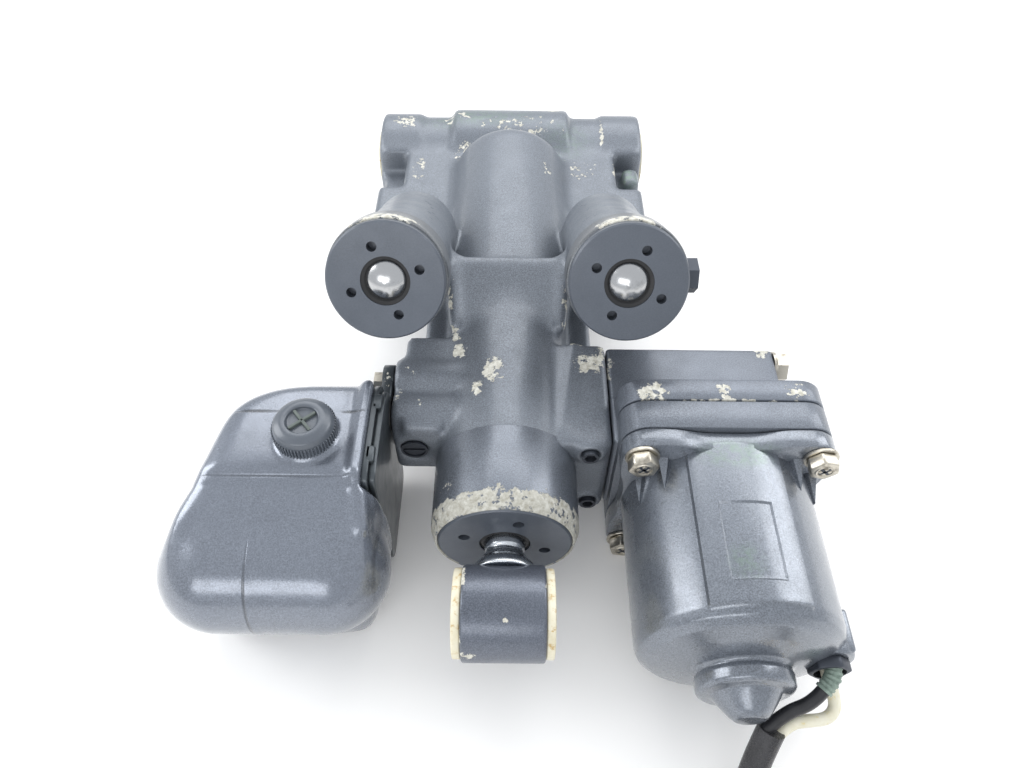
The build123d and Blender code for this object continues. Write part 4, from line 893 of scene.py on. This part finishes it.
@dataclass
class Reservoir:
    """The oil reservoir: a moulded shell, its side cover and the filler cap."""

    face: float = -61.0
    top: float = 40.0
    cell: float = 1.1
    groove: float = 1.9
    cap_x: float = -86.0
    cap_y: float = 31.0
    cross_angles: tuple = (40, 130)

    def field(self) -> Field:
        """The shell's distance field."""
        plan = soften([(self.face + 31, 66), (-99, 66), (-124, 52), (-132, 13), (-142, -6), (-140, -24),
                       (-126, -34), (-84, -34), (-60, -28), (-54, -8), (-54, 6), (self.face + 31, 9)], 14, 5)
        side = soften([(66, -48), (66, 36), (43, 40), (13.5, 40), (10.5, 36), (-6, 31), (-22, 20), (-34, 0),
                       (-35, -22), (-27, -42), (-14, -48)], 9, 4)
        front = soften([(-150, -50), (-150, 24), (-130, 41.5), (-60, 41.5), (-53, 26), (-50, 0), (-53, -26),
                        (-64, -50)], 14, 4)
        form = common(8, common(9, prism(Way.UP, plan, -70, 70, 1), prism(Way.ACROSS, side, -170, 0, 1)),
                      prism(Way.BACK, front, -80, 90, 1))
        lobe_y, lobe_radius = -13.0, 27.4
        form = merge(5, form, rod((-122.5, lobe_y, 0), (-77, lobe_y, 0), lobe_radius))
        form = cut(1.0, form, rod((-120, 44.5, 40.9), (-62, 44.5, 40.9), self.groove),
                   rod((-134, 12.3, 38.6), (-62, 12.3, 39.0), self.groove))
        border = merge(1.5, rod((-63.5, 60, 36.5), (-63.5, 14, 36.5), 3.4),
                       rod((-63.5, 14, 36.5), (-60.0, -6, 27), 3.0))
        smooth = merge(3, form, border)
        seam = [(-105.6, 60), (-104.4, 60), (-104.4, 8), (-98.4, -60), (-99.6, -60), (-105.6, 8)]
        ridge = common(0.5, lambda p: smooth(p) - 0.55, prism(Way.BACK, seam, -60, 6, 0.1))
        neck = bar((self.cap_x, self.cap_y, 0), AXIS_Z, 30, 40.9, 13)
        form = merge(1.5, merge(0.8, smooth, ridge), neck)
        back = merge(0.5, slab((-170, 8.5, -90), (self.face, 90, 90), 0.2),
                     slab((-170, -80, -90), (-40, 8.4, 90), 0.2))
        return common(0.8, form, back)

    def build(self, paint: Material, rim: Material, plastic: Material,
              dark: Material, ring: Tree) -> None:
        """Make the shell, the cover and the filler cap."""
        made = cast_mesh(self.field(), (-152, -44, -50), (-47, 69, 44), self.cell)
        settle(cast_piece("reservoir_body", made, paint), "frame", "grey_paint", "reservoir_shell")
        cover = Body()
        outline = soften([(64, -46), (67, 30), (58, 37), (14, 37), (9, 33), (9, -46)], 8, 4)
        cover.plate(Way.ACROSS, outline, self.face, self.face + 2.6, 0.5)
        inner = soften([(62, -44), (65, 28), (57, 34.5), (15, 34.5), (11, 31), (11, -44)], 8, 4)
        cover.plate(Way.ACROSS, inner, self.face + 2.6, self.face + 5.6, 0.9)
        for y, z in ((52, 34.6), (24, 34.6)):
            cover.block((self.face + 0.4, y - 4, z - 2), (self.face + 4.6, y + 4, z + 2.4), 0.8)
        for z in (14, -22):
            ring_shape = soften([(55.2, 3.3), (55.2, 9), (60.9, 9), (60.9, 3.3)], 0.6, 2)
            cover.turn((0, 80, z), TO_LEFT, ring_shape, 48)
            cover.block((self.face + 0.1, 60, z - 8), (self.face + 5.6, 78, z + 8), 1.0)
        settle(cover.finish("reservoir_side_cover", rim, 35), "frame", "grey_paint", "reservoir_cover")
        place = (self.cap_x, self.cap_y, self.top)
        cap = Body()
        cap.turn(place, AXIS_Z, soften([
            (-9, 0), (-9, 8.9), (1.1, 8.9), (1.1, 13.2), (7.4, 13.2), (10.0, 12.4), (11.5, 9.4), (11.5, 6.9),
            (9.7, 6.6), (9.7, 0)], 0.9, 4, closed=False), 128)
        settle(cap.finish("filler_cap_body", plastic, 40), "filler_cap", "grey_plastic", "filler_cap")
        cross = Body()
        for a in self.cross_angles:
            c, s = math.cos(math.radians(a)), math.sin(math.radians(a))
            arm = Body()
            arm.block((-6.5, -0.65, 9.2), (6.5, 0.65, 11.1), 0.25)
            cross.add([(x * c - y * s + place[0], x * s + y * c + place[1], z + place[2])
                       for x, y, z in arm.vertices], arm.faces)
        settle(cross.finish("filler_cap_cross", dark, 40), "filler_cap", "grey_plastic")
        rib = Body()
        rib.block((-0.9, -0.33, 1.4), (0.75, 0.33, 7.3), 0.18)
        ribs = ring_of("filler_cap_ribs", ring, rib, 60, 13.1, place, plastic)
        settle(ribs, "filler_cap", "grey_plastic")


@dataclass
class Motor:
    """The electric motor, the joint plates and the pump housing."""

    radius: float = 43.5
    flange_half: float = 47.0
    flange_y: float = 26.0
    adapter_y: float = 35.0
    plate_y: float = 50.0
    plate_end: float = 62.5
    tip_y: float = -73.0
    panel_half: float = 20.0
    gland_x: float = 134.0
    gland_z: float = -4.5
    bolt_offset: float = 38.8

    def swell(self, angle: float, y: float) -> float:
        """How far the barrel's raised panel and sunk rectangle stand out, by angle and place."""
        if math.cos(angle) > 0:  # the underside is plain
            return 0.0
        x = self.radius * math.sin(angle)

        def inside(value: float, low: float, high: float, soft: float = 0.5) -> float:
            """1 inside a span, easing to 0 at its ends."""
            return min(max((value - low) / soft, 0.0), 1.0) * min(max((high - value) / soft, 0.0), 1.0)
        panel = inside(x, -self.panel_half, self.panel_half) * inside(y, -42.6, 60.0, 0.7)
        sunk = inside(x, -10.8, 10.8, 0.6) * inside(y, -33.0, 1.0, 0.6)
        lane = inside(x, -13.6, -12.6) * inside(y, 1.0, 24.0)
        return 1.3 * panel - 0.8 * sunk - 0.35 * lane

    def square(self, scallop: float = 0.0) -> Outline:
        """A joint plate's outline, with its sides hollowed between the bolts."""
        outline = round_square(self.flange_half, 12.0)
        reach, near_side, spacing = 20.0, self.flange_half - 3, 2.5
        dense = []
        for (x0, z0), (x1, z1) in zip(outline, outline[1:] + outline[:1]):
            count = max(1, int(math.hypot(x1 - x0, z1 - z0) / spacing))
            for k in range(count):
                x, z = x0 + (x1 - x0) * k / count, z0 + (z1 - z0) * k / count
                pull_z = scallop * math.exp(-(x / reach) ** 4) if abs(z) > near_side else 0.0
                pull_x = scallop * math.exp(-(z / reach) ** 4) if abs(x) > near_side else 0.0
                dense.append((MOTOR_X + x - math.copysign(pull_x, x), MOTOR_Z + z - math.copysign(pull_z, z)))
        return dense

    def build(self, paint: Material, plate: Material, pump: Material,
              dark: Material, steel: Material, ring: Tree) -> None:
        """Make the motor, its plates, the pump housing, the outlet and the bolts."""
        axis = (MOTOR_X, 0, MOTOR_Z)
        barrel = Body()
        shell = [(self.tip_y, 0), (self.tip_y, 6.0), (-71.0, 8.4), (-63.2, 14.6), (-62.8, 18.6), (-61.6, 20.2),
                 (-57.0, 20.4), (-55.2, 19.4), (-53.8, 20.8), (-51.2, 31.0), (-48.6, 38.6), (-45.6, 42.4),
                 (-41.5, self.radius), (30, self.radius), (30, 0)]
        shell = soften(shell, 0.9, 3, closed=False)
        fine: Outline = []
        for (t0, r0), (t1, r1) in zip(shell, shell[1:]):
            count = max(1, int(math.hypot(t1 - t0, r1 - r0) / (0.9 if min(r0, r1) > 38 else 3.0)))
            fine += [(t0 + (t1 - t0) * k / count, r0 + (r1 - r0) * k / count) for k in range(count)]
        fine.append(shell[-1])
        barrel.turn(axis, AXIS_Y, fine, 400, self.swell)
        root, inward = 26.5, 0.86  # gussets under the bolts: where they start, and how far in they reach
        for side in SIDES:
            for x, z, r in ((29.5, 32.5, 2.3), (39.0, 21.5, 2.0)):
                mx, mz = MOTOR_X + side * x, MOTOR_Z + z
                nx, nz = MOTOR_X + side * x * inward, MOTOR_Z + z * inward
                barrel.add([(mx - r, root, mz + 5), (mx + r, root, mz + 5), (mx, 13, mz - 0.5),
                            (nx - r, root, nz), (nx + r, root, nz), (nx, 10, nz)],
                           [(0, 1, 2), (3, 5, 4), (0, 2, 5, 3), (1, 4, 5, 2), (0, 3, 4, 1)])
        # outlet block with a spot face for the gland
        gland = (self.gland_x, 0, self.gland_z)
        barrel.block((108, -48.4, -23), (143.8, -30, 4.6), 1.6)
        barrel.turn(gland, AXIS_Y, soften([(-49.4, 6.7), (-49.4, 10.6), (-48.0, 11.4), (-43, 11.4),
                                              (-43, 6.7)], 0.5, 2), 64)
        settle(barrel.finish("motor_barrel", paint, 30), "frame", "grey_paint", "motor_frame")
        flange = Body()
        flange.plate(Way.BACK, self.square(3.2), self.flange_y, self.adapter_y, 0.9)
        settle(flange.finish("motor_flange", paint, 30), "frame", "grey_paint")
        middle = Body()
        middle.plate(Way.BACK, self.square(), self.adapter_y + 0.4, self.plate_y, 0.7)
        settle(middle.finish("adapter_block", plate, 30), "frame", "grey_paint", "adapter_plate")
        back = Body()
        back.plate(Way.BACK, self.square(), self.plate_y + 0.6, self.plate_end, 0.9)
        back.block((49.4, 58, -36), (133.5, 98, 22), 2.2)
        back.block((49.4, 40, -32), (55.0, 66, 24), 1.8)
        settle(back.finish("pump_block", pump, 30), "frame", "grey_paint", "pump_housing")
        nut = Body()
        middle_of_nut = (self.gland_x, self.gland_z)
        hexagon = soften(polygon(middle_of_nut, 9.0, 6, 15), 1.2, 2)
        hole = polygon(middle_of_nut, 6.7, len(hexagon), 10 + 180 / len(hexagon))
        nut.plate(Way.BACK, hexagon, -54.2, -49.3, 0.7, hole)
        settle(nut.finish("gland_hexagon", dark, 30), "frame", "dark_steel", "gland_nut")
        slot = Body()
        for a, b in ((2.9, 0.75), (0.75, 2.9)):
            slot.block((-a, -b, 7.3), (a, b, 7.62), 0.1)
        face = (MOTOR_X, self.flange_y - 0.05, MOTOR_Z)
        reach = self.bolt_offset * math.sqrt(2)
        to_front, first = (90, 0, 0), 45
        bolt = socket_bolt(12.0, 6.0, 7.6)
        bolts = ring_of("motor_bolt_set", ring, bolt, 4, reach, face, steel, to_front, first)
        settle(bolts, "frame", "zinc_steel", "motor_bolts")
        slots = ring_of("motor_bolt_slots", ring, slot, 4, reach, face, dark, to_front, first)
        settle(slots, "frame", "dark_steel")


@dataclass
class TiltRod:
    """The tilt rod with its painted eye and flanged bushes."""

    eye_y: float = -32.0
    radius: float = 20.0
    half: float = 17.6

    def build(self, paint: Material, chrome: Material, bush: Material) -> None:
        """Make the eye, the polished rod and the bushes."""
        eye = Body()
        half, bore = self.half, 12.05
        eye.turn((0, self.eye_y, 0), AXIS_X, soften([
            (-half, bore), (-half, self.radius), (half, self.radius), (half, bore)], 1.4, 4), 128)
        settle(eye.finish("tilt_rod_eye", paint, 40), "tilt_ram", "hard_chrome", "tilt_rod")
        shaft = Body()
        shaft.turn((0, 0, 0), AXIS_Y, soften([
            (-15.5, 0), (-15.5, 15.0), (-13.2, 14.6), (-10.6, 12.8), (-8.2, 10.2), (-6.4, 9.5), (-5.2, 8.3),
            (-4.2, 8.3), (-3.4, 9.0), (226, 9.0), (226, 7.0), (246, 7.0), (247, 0)], 0.7, 3, closed=False), 96)
        settle(shaft.finish("tilt_rod_shaft", chrome, 40), "tilt_ram", "hard_chrome")
        rings = Body()
        for side in SIDES:
            rings.turn((0, self.eye_y, 0), (side, 0, 0), soften([
                (1, 9.0), (1, 11.95), (17.65, 11.95), (17.65, 18.6), (21.3, 18.6), (21.3, 9.0)], 0.8, 3), 96)
        settle(rings.finish("eye_bush_pair", bush, 40), "tilt_ram", "cream_plastic", "eye_bushes")


@dataclass
class Lead:
    """The motor's lead: two wires and the outer sleeve; its ribbed boot and two ring terminals stay CAD nodes.
    """

    wire: float = 5.6
    cream: float = 5.2
    sleeve: float = 11.5
    coil_x: float = 118.0
    coil_y: float = -197.0
    coil: float = 66.0

    def curve(self, name: str, points: Sequence[Point], diameter: float,
              material: Material) -> Piece:
        """A round cord on a smooth spline.

        Args:
            name: the object's name.
            points: the route, in the unit's frame.
            diameter: in millimetres.
            material: the covering.

        Returns:
            The curve object.
        """
        data = bpy.data.curves.new(name, "CURVE")
        data.dimensions = "3D"
        data.bevel_depth = diameter / 2 * MM
        data.bevel_resolution = 8
        data.resolution_u = 16
        data.use_fill_caps = True
        spline = data.splines.new("NURBS")
        spline.points.add(len(points) - 1)
        for target, source in zip(spline.points, points):
            target.co = (*in_scene(source), 1.0)
        spline.order_u = 3
        spline.use_endpoint_u = True
        data.materials.append(material)
        return linked(name, data)

    def build(self, black: Material, pale: Material, sheath: Material) -> None:
        start = -49.8
        black_route = [(135.0, start, -0.8), (134.5, -56.5, -2.6), (125.5, -65.0, -8.5), (114.5, -68.0, -11.0),
                       (105.6, -74.3, -15.6)]
        cream_route = [(134.0, start, -7.8), (134.2, -53.4, -8.1), (137.1, -59.5, -13.6), (137.5, -65.0, -16.2),
                       (133.2, -68.8, -17.5), (125.0, -69.2, -17.8), (117.0, -70.5, -17.6),
                       (110.3, -76.4, -19.0)]
        rest = FLOOR_Z + self.sleeve / 2 + 0.1
        sleeve_route = [(109.0, -73.5, -15.0), (104.5, -81.5, -24.0), (100.0, -92.5, -34.0),
                        (93.0, -107.0, -41.0), (81.5, -124.0, rest), (65.0, -147.0, rest)]
        for step in range(9):
            a = math.radians(165 + 30 * step)
            sleeve_route.append((self.coil_x + self.coil * math.cos(a), self.coil_y + self.coil * math.sin(a),
                                 rest))
        first = self.curve("wire_dark", black_route, self.wire, black)
        settle(first, "frame", "black_plastic", "wire_black")
        second = self.curve("wire_pale", cream_route, self.cream, pale)
        settle(second, "frame", "cream_sheath", "wire_cream")
        outer = self.curve("outer_sleeve", sleeve_route, self.sleeve, sheath)
        settle(outer, "frame", "black_plastic", "lead_sleeve")


@dataclass
class Studio:
    """Floor, lights and camera."""

    lens: float = 27.0
    pitch: float = 51.96
    roll: float = 0.58
    eye: Point = (2.5, -155.8, 315.6)

    def floor(self) -> None:
        """A wide pale floor."""
        mesh = bpy.data.meshes.new("floor")
        mesh.from_pydata([(-3, -3, 0), (3, -3, 0), (3, 3, 0), (-3, 3, 0)], [], [(0, 1, 2, 3)])
        g = Graph("floor_white")
        g.set(Base_Color=(0.94, 0.93, 0.915), Roughness=0.9, Specular_IOR_Level=0.1,
              Emission_Color=(1.0, 1.0, 1.0), Emission_Strength=0.06)
        mesh.materials.append(g.material)
        linked("floor", mesh)

    def light(self, name: str, place: Point, target: Point, size: tuple[float, float], power: float) -> None:
        """One soft rectangular light, aimed at a point; sizes in metres."""
        data = bpy.data.lights.new(name, "AREA")
        data.shape = "RECTANGLE"
        data.size, data.size_y = size
        data.energy = power
        lamp = linked(name, data)
        lamp.location = place
        lamp.rotation_euler = (Vector(target) - Vector(place)).to_track_quat("-Z", "Y").to_euler()

    def build(self) -> None:
        """Set the stage."""
        self.floor()
        world = bpy.data.worlds.new("studio")
        world.use_nodes = True
        world.node_tree.nodes["Background"].inputs[0].default_value = (0.93, 0.96, 1.0, 1.0)
        world.node_tree.nodes["Background"].inputs[1].default_value = 0.95
        bpy.context.scene.world = world
        self.light("back_window", (0.1, 1.05, 1.2), (0, 0, 0.03), (1.7, 0.9), 13.0)
        self.light("left_window", (-1.3, 0.2, 0.8), (0, 0, 0.05), (0.7, 0.9), 9.0)
        self.light("right_window", (1.2, 0.5, 0.9), (0, 0, 0.05), (0.6, 0.9), 7.0)
        self.light("front_window", (-0.35, -1.25, 0.75), (0, 0, 0.03), (1.1, 0.5), 5.0)
        camera = bpy.data.cameras.new("camera")
        camera.lens = self.lens
        camera.sensor_width = 36.0
        camera.clip_start = 0.01
        holder = linked("camera", camera)
        holder.location = in_scene(self.eye)
        turns = ((math.radians(90 - self.pitch), 0, 0), (0, 0, math.radians(self.roll)))
        tilt, roll = (Euler(turn).to_matrix() for turn in turns)
        holder.rotation_euler = (tilt @ roll).to_euler()
        bpy.context.scene.camera = holder
        bpy.context.scene.view_settings.view_transform = "Standard"


def dress(finishes: dict[str, Material]) -> None:
    """Give every CAD node that stays in view its finish."""
    chosen = {
        # the caps take the darker copy of the paint, which is painted shade
        "shaded_cap_paint": ("tilt_cap", "trim_cap_left", "trim_cap_right"),
        "dark_steel": ("valve_circlip", "manual_valve", "trim_barrel_plug", "gallery_plugs"),
        "mirror": ("trim_rod_left", "trim_rod_right"),
        "steel": ("tilt_piston", "tilt_piston_nut", "free_piston", "trim_piston_left", "trim_piston_right",
                  "drive_gear", "driven_gear", "armature_shaft", "relief_valves", "shuttle_piston",
                  "drive_coupling", "brush_springs", "gear_case", "gear_case_cover"),
        "bolt_steel": ("housing_bolts", "reservoir_bolts"),
        "bush": ("pivot_bushes", "tilt_piston_ring"),
        "rubber": ("cap_o_rings", "rod_seals", "adapter_o_ring", "oil_seal", "reservoir_seal",
                   "filler_cap_seal", "gland_grommet", "free_piston_o_ring"),
        "boot": ("wire_boot",),
        "wire_black": ("lead_tails",),
        "ferrite": ("motor_magnets", "armature_core"),
        "copper": ("armature_windings", "commutator"),
        "carbon": ("brushes",),
        "board": ("brush_plate",),
        "brass": ("suction_filter", "ring_terminals", "motor_bearings"),
    }
    for finish, nodes in chosen.items():
        for node in nodes:
            piece = bpy.data.objects[node]
            if not piece.material_slots:
                piece.data.materials.append(finishes[finish])
            for slot in piece.material_slots:
                slot.material = finishes[finish]


def finishes() -> dict[str, Material]:
    """Every finish, by its name."""
    casting_chips = (
        Patch((-7, 76, 32), (9, 14, 8), 1.0), Patch((-14, 66, 29), (6, 10, 8), 0.8),
        Patch((40, 86, 24), (13, 11, 6), 1.0), Patch((46, 92, 24), (6, 10, 6), 0.9),
        Patch((-52, 65, 18), (5, 14, 14), 0.85), Patch((-50, 49, 10), (8, 6, 8), 0.6),
        Patch((-40, 62, 22), (14, 8, 6), 0.5), Patch((-28, 102, 27), (7, 9, 8), 1.0),
        Patch((-27, 112, 31), (4, 16, 6), 0.6), Patch((36, 100, 27), (12, 8, 8), 0.9),
        Patch((30, 106, 28), (5, 10, 8), 0.8), Patch((-30, 122, 33), (5, 24, 8), 0.78),
        Patch((30, 120, 33), (5, 22, 8), 0.72), Patch((-20, 255, 20), (10, 14, 10), 0.85),
        Patch((22, 238, 24), (7, 20, 12), 0.75), Patch((0, 264, 28), (26, 9, 12), 0.62),
        Patch((-72, 305, 12), (14, 12, 10), 1.0), Patch((-35, 308, 14), (26, 12, 10), 0.74),
        Patch((6, 298, 16), (50, 20, 10), 0.64), Patch((25, 320, 16), (16, 6, 8), 0.98),
        Patch((61, 300, 10), (3, 30, 16), 0.9), Patch((70, 262, 4), (6, 16, 14), 0.95),
        Patch((66, 250, 0), (6, 14, 14), 0.8), Patch((-30, 278, 10), (18, 16, 12), 0.68),
        Patch((-60, 262, 6), (10, 26, 10), 0.66), Patch((46, 262, 8), (18, 20, 10), 0.66),
        Patch((-24, 92, 24), (8, 10, 8), 0.9), Patch((-47, 78, 24), (8, 8, 6), 0.6))
    greens = (Patch((-20, 308, 13), (50, 14, 14), 0.6), Patch((36, 290, 10), (24, 22, 14), 0.35),
              Patch((76, 266, 0), (12, 14, 10), 0.8))
    plate_chips = (Patch((66, 55, 40), (13, 9, 10), 1.0), Patch((98, 55, 40), (7, 9, 8), 0.95),
                   Patch((131, 56, 38), (12, 9, 12), 0.9), Patch((97, 50.6, 40), (46, 1.4, 8), 0.85),
                   Patch((127, 96, 20), (8, 8, 8), 0.95), Patch((51, 84, 20), (4, 20, 10), 0.8))
    # painted shade along the tank's two top grooves, its parting seam and its right-hand side
    tank_shaded_creases = (Patch((-112, 44.5, 40), (15, 1.0, 5)), Patch((-68, 44.5, 40), (6, 1.0, 5)),
                    Patch((-98, 12.0, 38), (42, 0.9, 6), 0.55), Patch((-105, -30, 0), (0.8, 24, 46), 0.9),
                    Patch((-54.5, -10, 10), (1.0, 26, 30), 0.5))
    return {
        "casting": Paint("casting_paint", colour=(0.148, 0.164, 0.188), roughness=0.46, metallic=0.4, coat=0.2,
                         chips=casting_chips, stains=greens).build(),
        "head": Paint("head_paint", colour=(0.14, 0.155, 0.18), roughness=0.38, bare_front=11.0, chalk=0.72,
                      chips=(Patch((-26, 16, 20), (10, 6, 12), 0.7),)).build(),
        "trim_head": Paint("trim_head_paint", colour=(0.11, 0.118, 0.128), chips=(
            Patch((-53, 104, 98), (28, 9, 9), 0.95), Patch((53, 104, 98), (28, 9, 9), 0.95),
            Patch((-36, 88, 62), (12, 12, 12), 0.85), Patch((36, 88, 62), (12, 12, 12), 0.85),
            Patch((74, 92, 80), (8, 12, 18), 0.6))).build(),
        # the caps wear the casting's blue-grey paint; this darker copy stands for painted shade on the caps
        # that face the camera
        "shaded_cap_paint": Paint("shaded_cap_paint", colour=(0.082, 0.094, 0.115), roughness=0.5, metallic=0.35,
                           sparkle=0.12).build(),
        "tank": Paint("tank_paint", colour=(0.155, 0.172, 0.205), roughness=0.25, sparkle=0.5, coat=0.7,
                      shaded_creases=tank_shaded_creases, chips=(Patch((-140, -22, 2), (10, 8, 5), 0.34),)).build(),
        "rim": Paint("rim_paint", colour=(0.06, 0.07, 0.078), roughness=0.35, sparkle=0.15,
                     chips=(Patch((-58, 74, 28), (6, 12, 14), 0.8),)).build(),
        "motor": Paint("motor_paint", colour=(0.15, 0.166, 0.192), roughness=0.28, sparkle=0.55, coat=0.6,
                       stains=(Patch((100, 24, 40), (22, 9, 9), 0.7),
                               Patch((95, -25, 37), (9, 10, 6), 0.7))).build(),
        "plate": Paint("plate_paint", colour=(0.14, 0.155, 0.18), chips=(), sparkle=0.45).build(),
        "pump": Paint("pump_paint", colour=(0.135, 0.150, 0.176), chips=plate_chips, sparkle=0.4).build(),
        "eye": Paint("eye_paint", colour=(0.10, 0.112, 0.138), roughness=0.36, chips=(
            Patch((-17.6, -24, 14), (3.2, 14, 14), 1.0), Patch((-17.8, -44, 10), (2.2, 12, 12), 0.8),
            Patch((-6, -13.5, 14), (14, 3.5, 8), 0.7), Patch((17.6, -30, 12), (1.8, 20, 16), 0.7),
            Patch((1, -42, 18), (2.4, 2.0, 4), 1.0), Patch((-14, -51, 4), (6, 3, 6), 0.9))).build(),
        "mirror": Metal("mirror_chrome", (0.50, 0.505, 0.51), 0.17, 0.16).build(),
        "neck": Metal("neck_chrome", (0.66, 0.69, 0.72), 0.2, 0.5, dirt_colour=(0.12, 0.14, 0.17)).build(),
        "steel": Metal("turned_steel", (0.56, 0.55, 0.53), 0.3, 0.1).build(),
        "bolt_steel": Metal("bolt_steel", (0.62, 0.58, 0.50), 0.28, 0.45,
                            dirt_colour=(0.09, 0.07, 0.045)).build(),
        "dark_steel": Metal("dark_steel", (0.07, 0.078, 0.095), 0.4, 0.1, 0.7).build(),
        "copper": Metal("copper", (0.72, 0.36, 0.2), 0.3, 0.1).build(),
        "brass": Metal("brass", (0.72, 0.58, 0.32), 0.3, 0.1).build(),
        "ferrite": Plain("ferrite", (0.03, 0.03, 0.033), (0.05, 0.05, 0.052), 0.6).build(),
        "carbon": Plain("carbon", (0.02, 0.02, 0.02), (0.035, 0.035, 0.035), 0.6).build(),
        "board": Plain("board", (0.22, 0.12, 0.05), (0.28, 0.16, 0.07), 0.6).build(),
        "bush": Plain("bush_plastic", (0.74, 0.70, 0.56), (0.66, 0.60, 0.42), 0.45, 6.0, 0.05, 0.8).build(),
        "rubber": Plain("rubber", (0.012, 0.012, 0.013), (0.02, 0.02, 0.021), 0.5).build(),
        "cap_plastic": Paint("cap_plastic", colour=(0.085, 0.097, 0.115), metallic=0.15, sparkle=0.1,
                             roughness=0.34).build(),
        "cross_plastic": Plain("cross_plastic", (0.12, 0.14, 0.13), (0.09, 0.11, 0.10), 0.6, 3.0).build(),
        "boot": Plain("boot_rubber", (0.26, 0.33, 0.28), (0.14, 0.19, 0.16), 0.6, 3.0, 0.12).build(),
        "wire_black": Plain("wire_black", (0.012, 0.012, 0.014), (0.022, 0.022, 0.025), 0.34, 6.0).build(),
        "wire_pale": Plain("wire_pale", (0.78, 0.75, 0.62), (0.70, 0.66, 0.50), 0.42, 6.0, 0.05, 0.5,
                           (0.72, 0.55, 0.12)).build(),
        "sheath": Plain("sleeve_black", (0.014, 0.014, 0.016), (0.03, 0.03, 0.034), 0.24, 7.0, 0.5).build(),
    }


def main() -> None:
    """Build everything in order."""
    Studio().build()
    made = finishes()
    ring = ring_tree("ring_of_parts")
    Lead().build(made["wire_black"], made["wire_pale"], made["sheath"])
    Motor().build(made["motor"], made["plate"], made["pump"], made["dark_steel"], made["bolt_steel"], ring)
    Reservoir().build(made["tank"], made["rim"], made["cap_plastic"], made["cross_plastic"], ring)
    TiltRod().build(made["eye"], made["neck"], made["bush"])
    Casting().build(made["casting"], made["head"], made["trim_head"])
    dress(made)


if __name__ == "__main__":
    logging.basicConfig(level=logging.INFO, format="%(message)s")
    main()
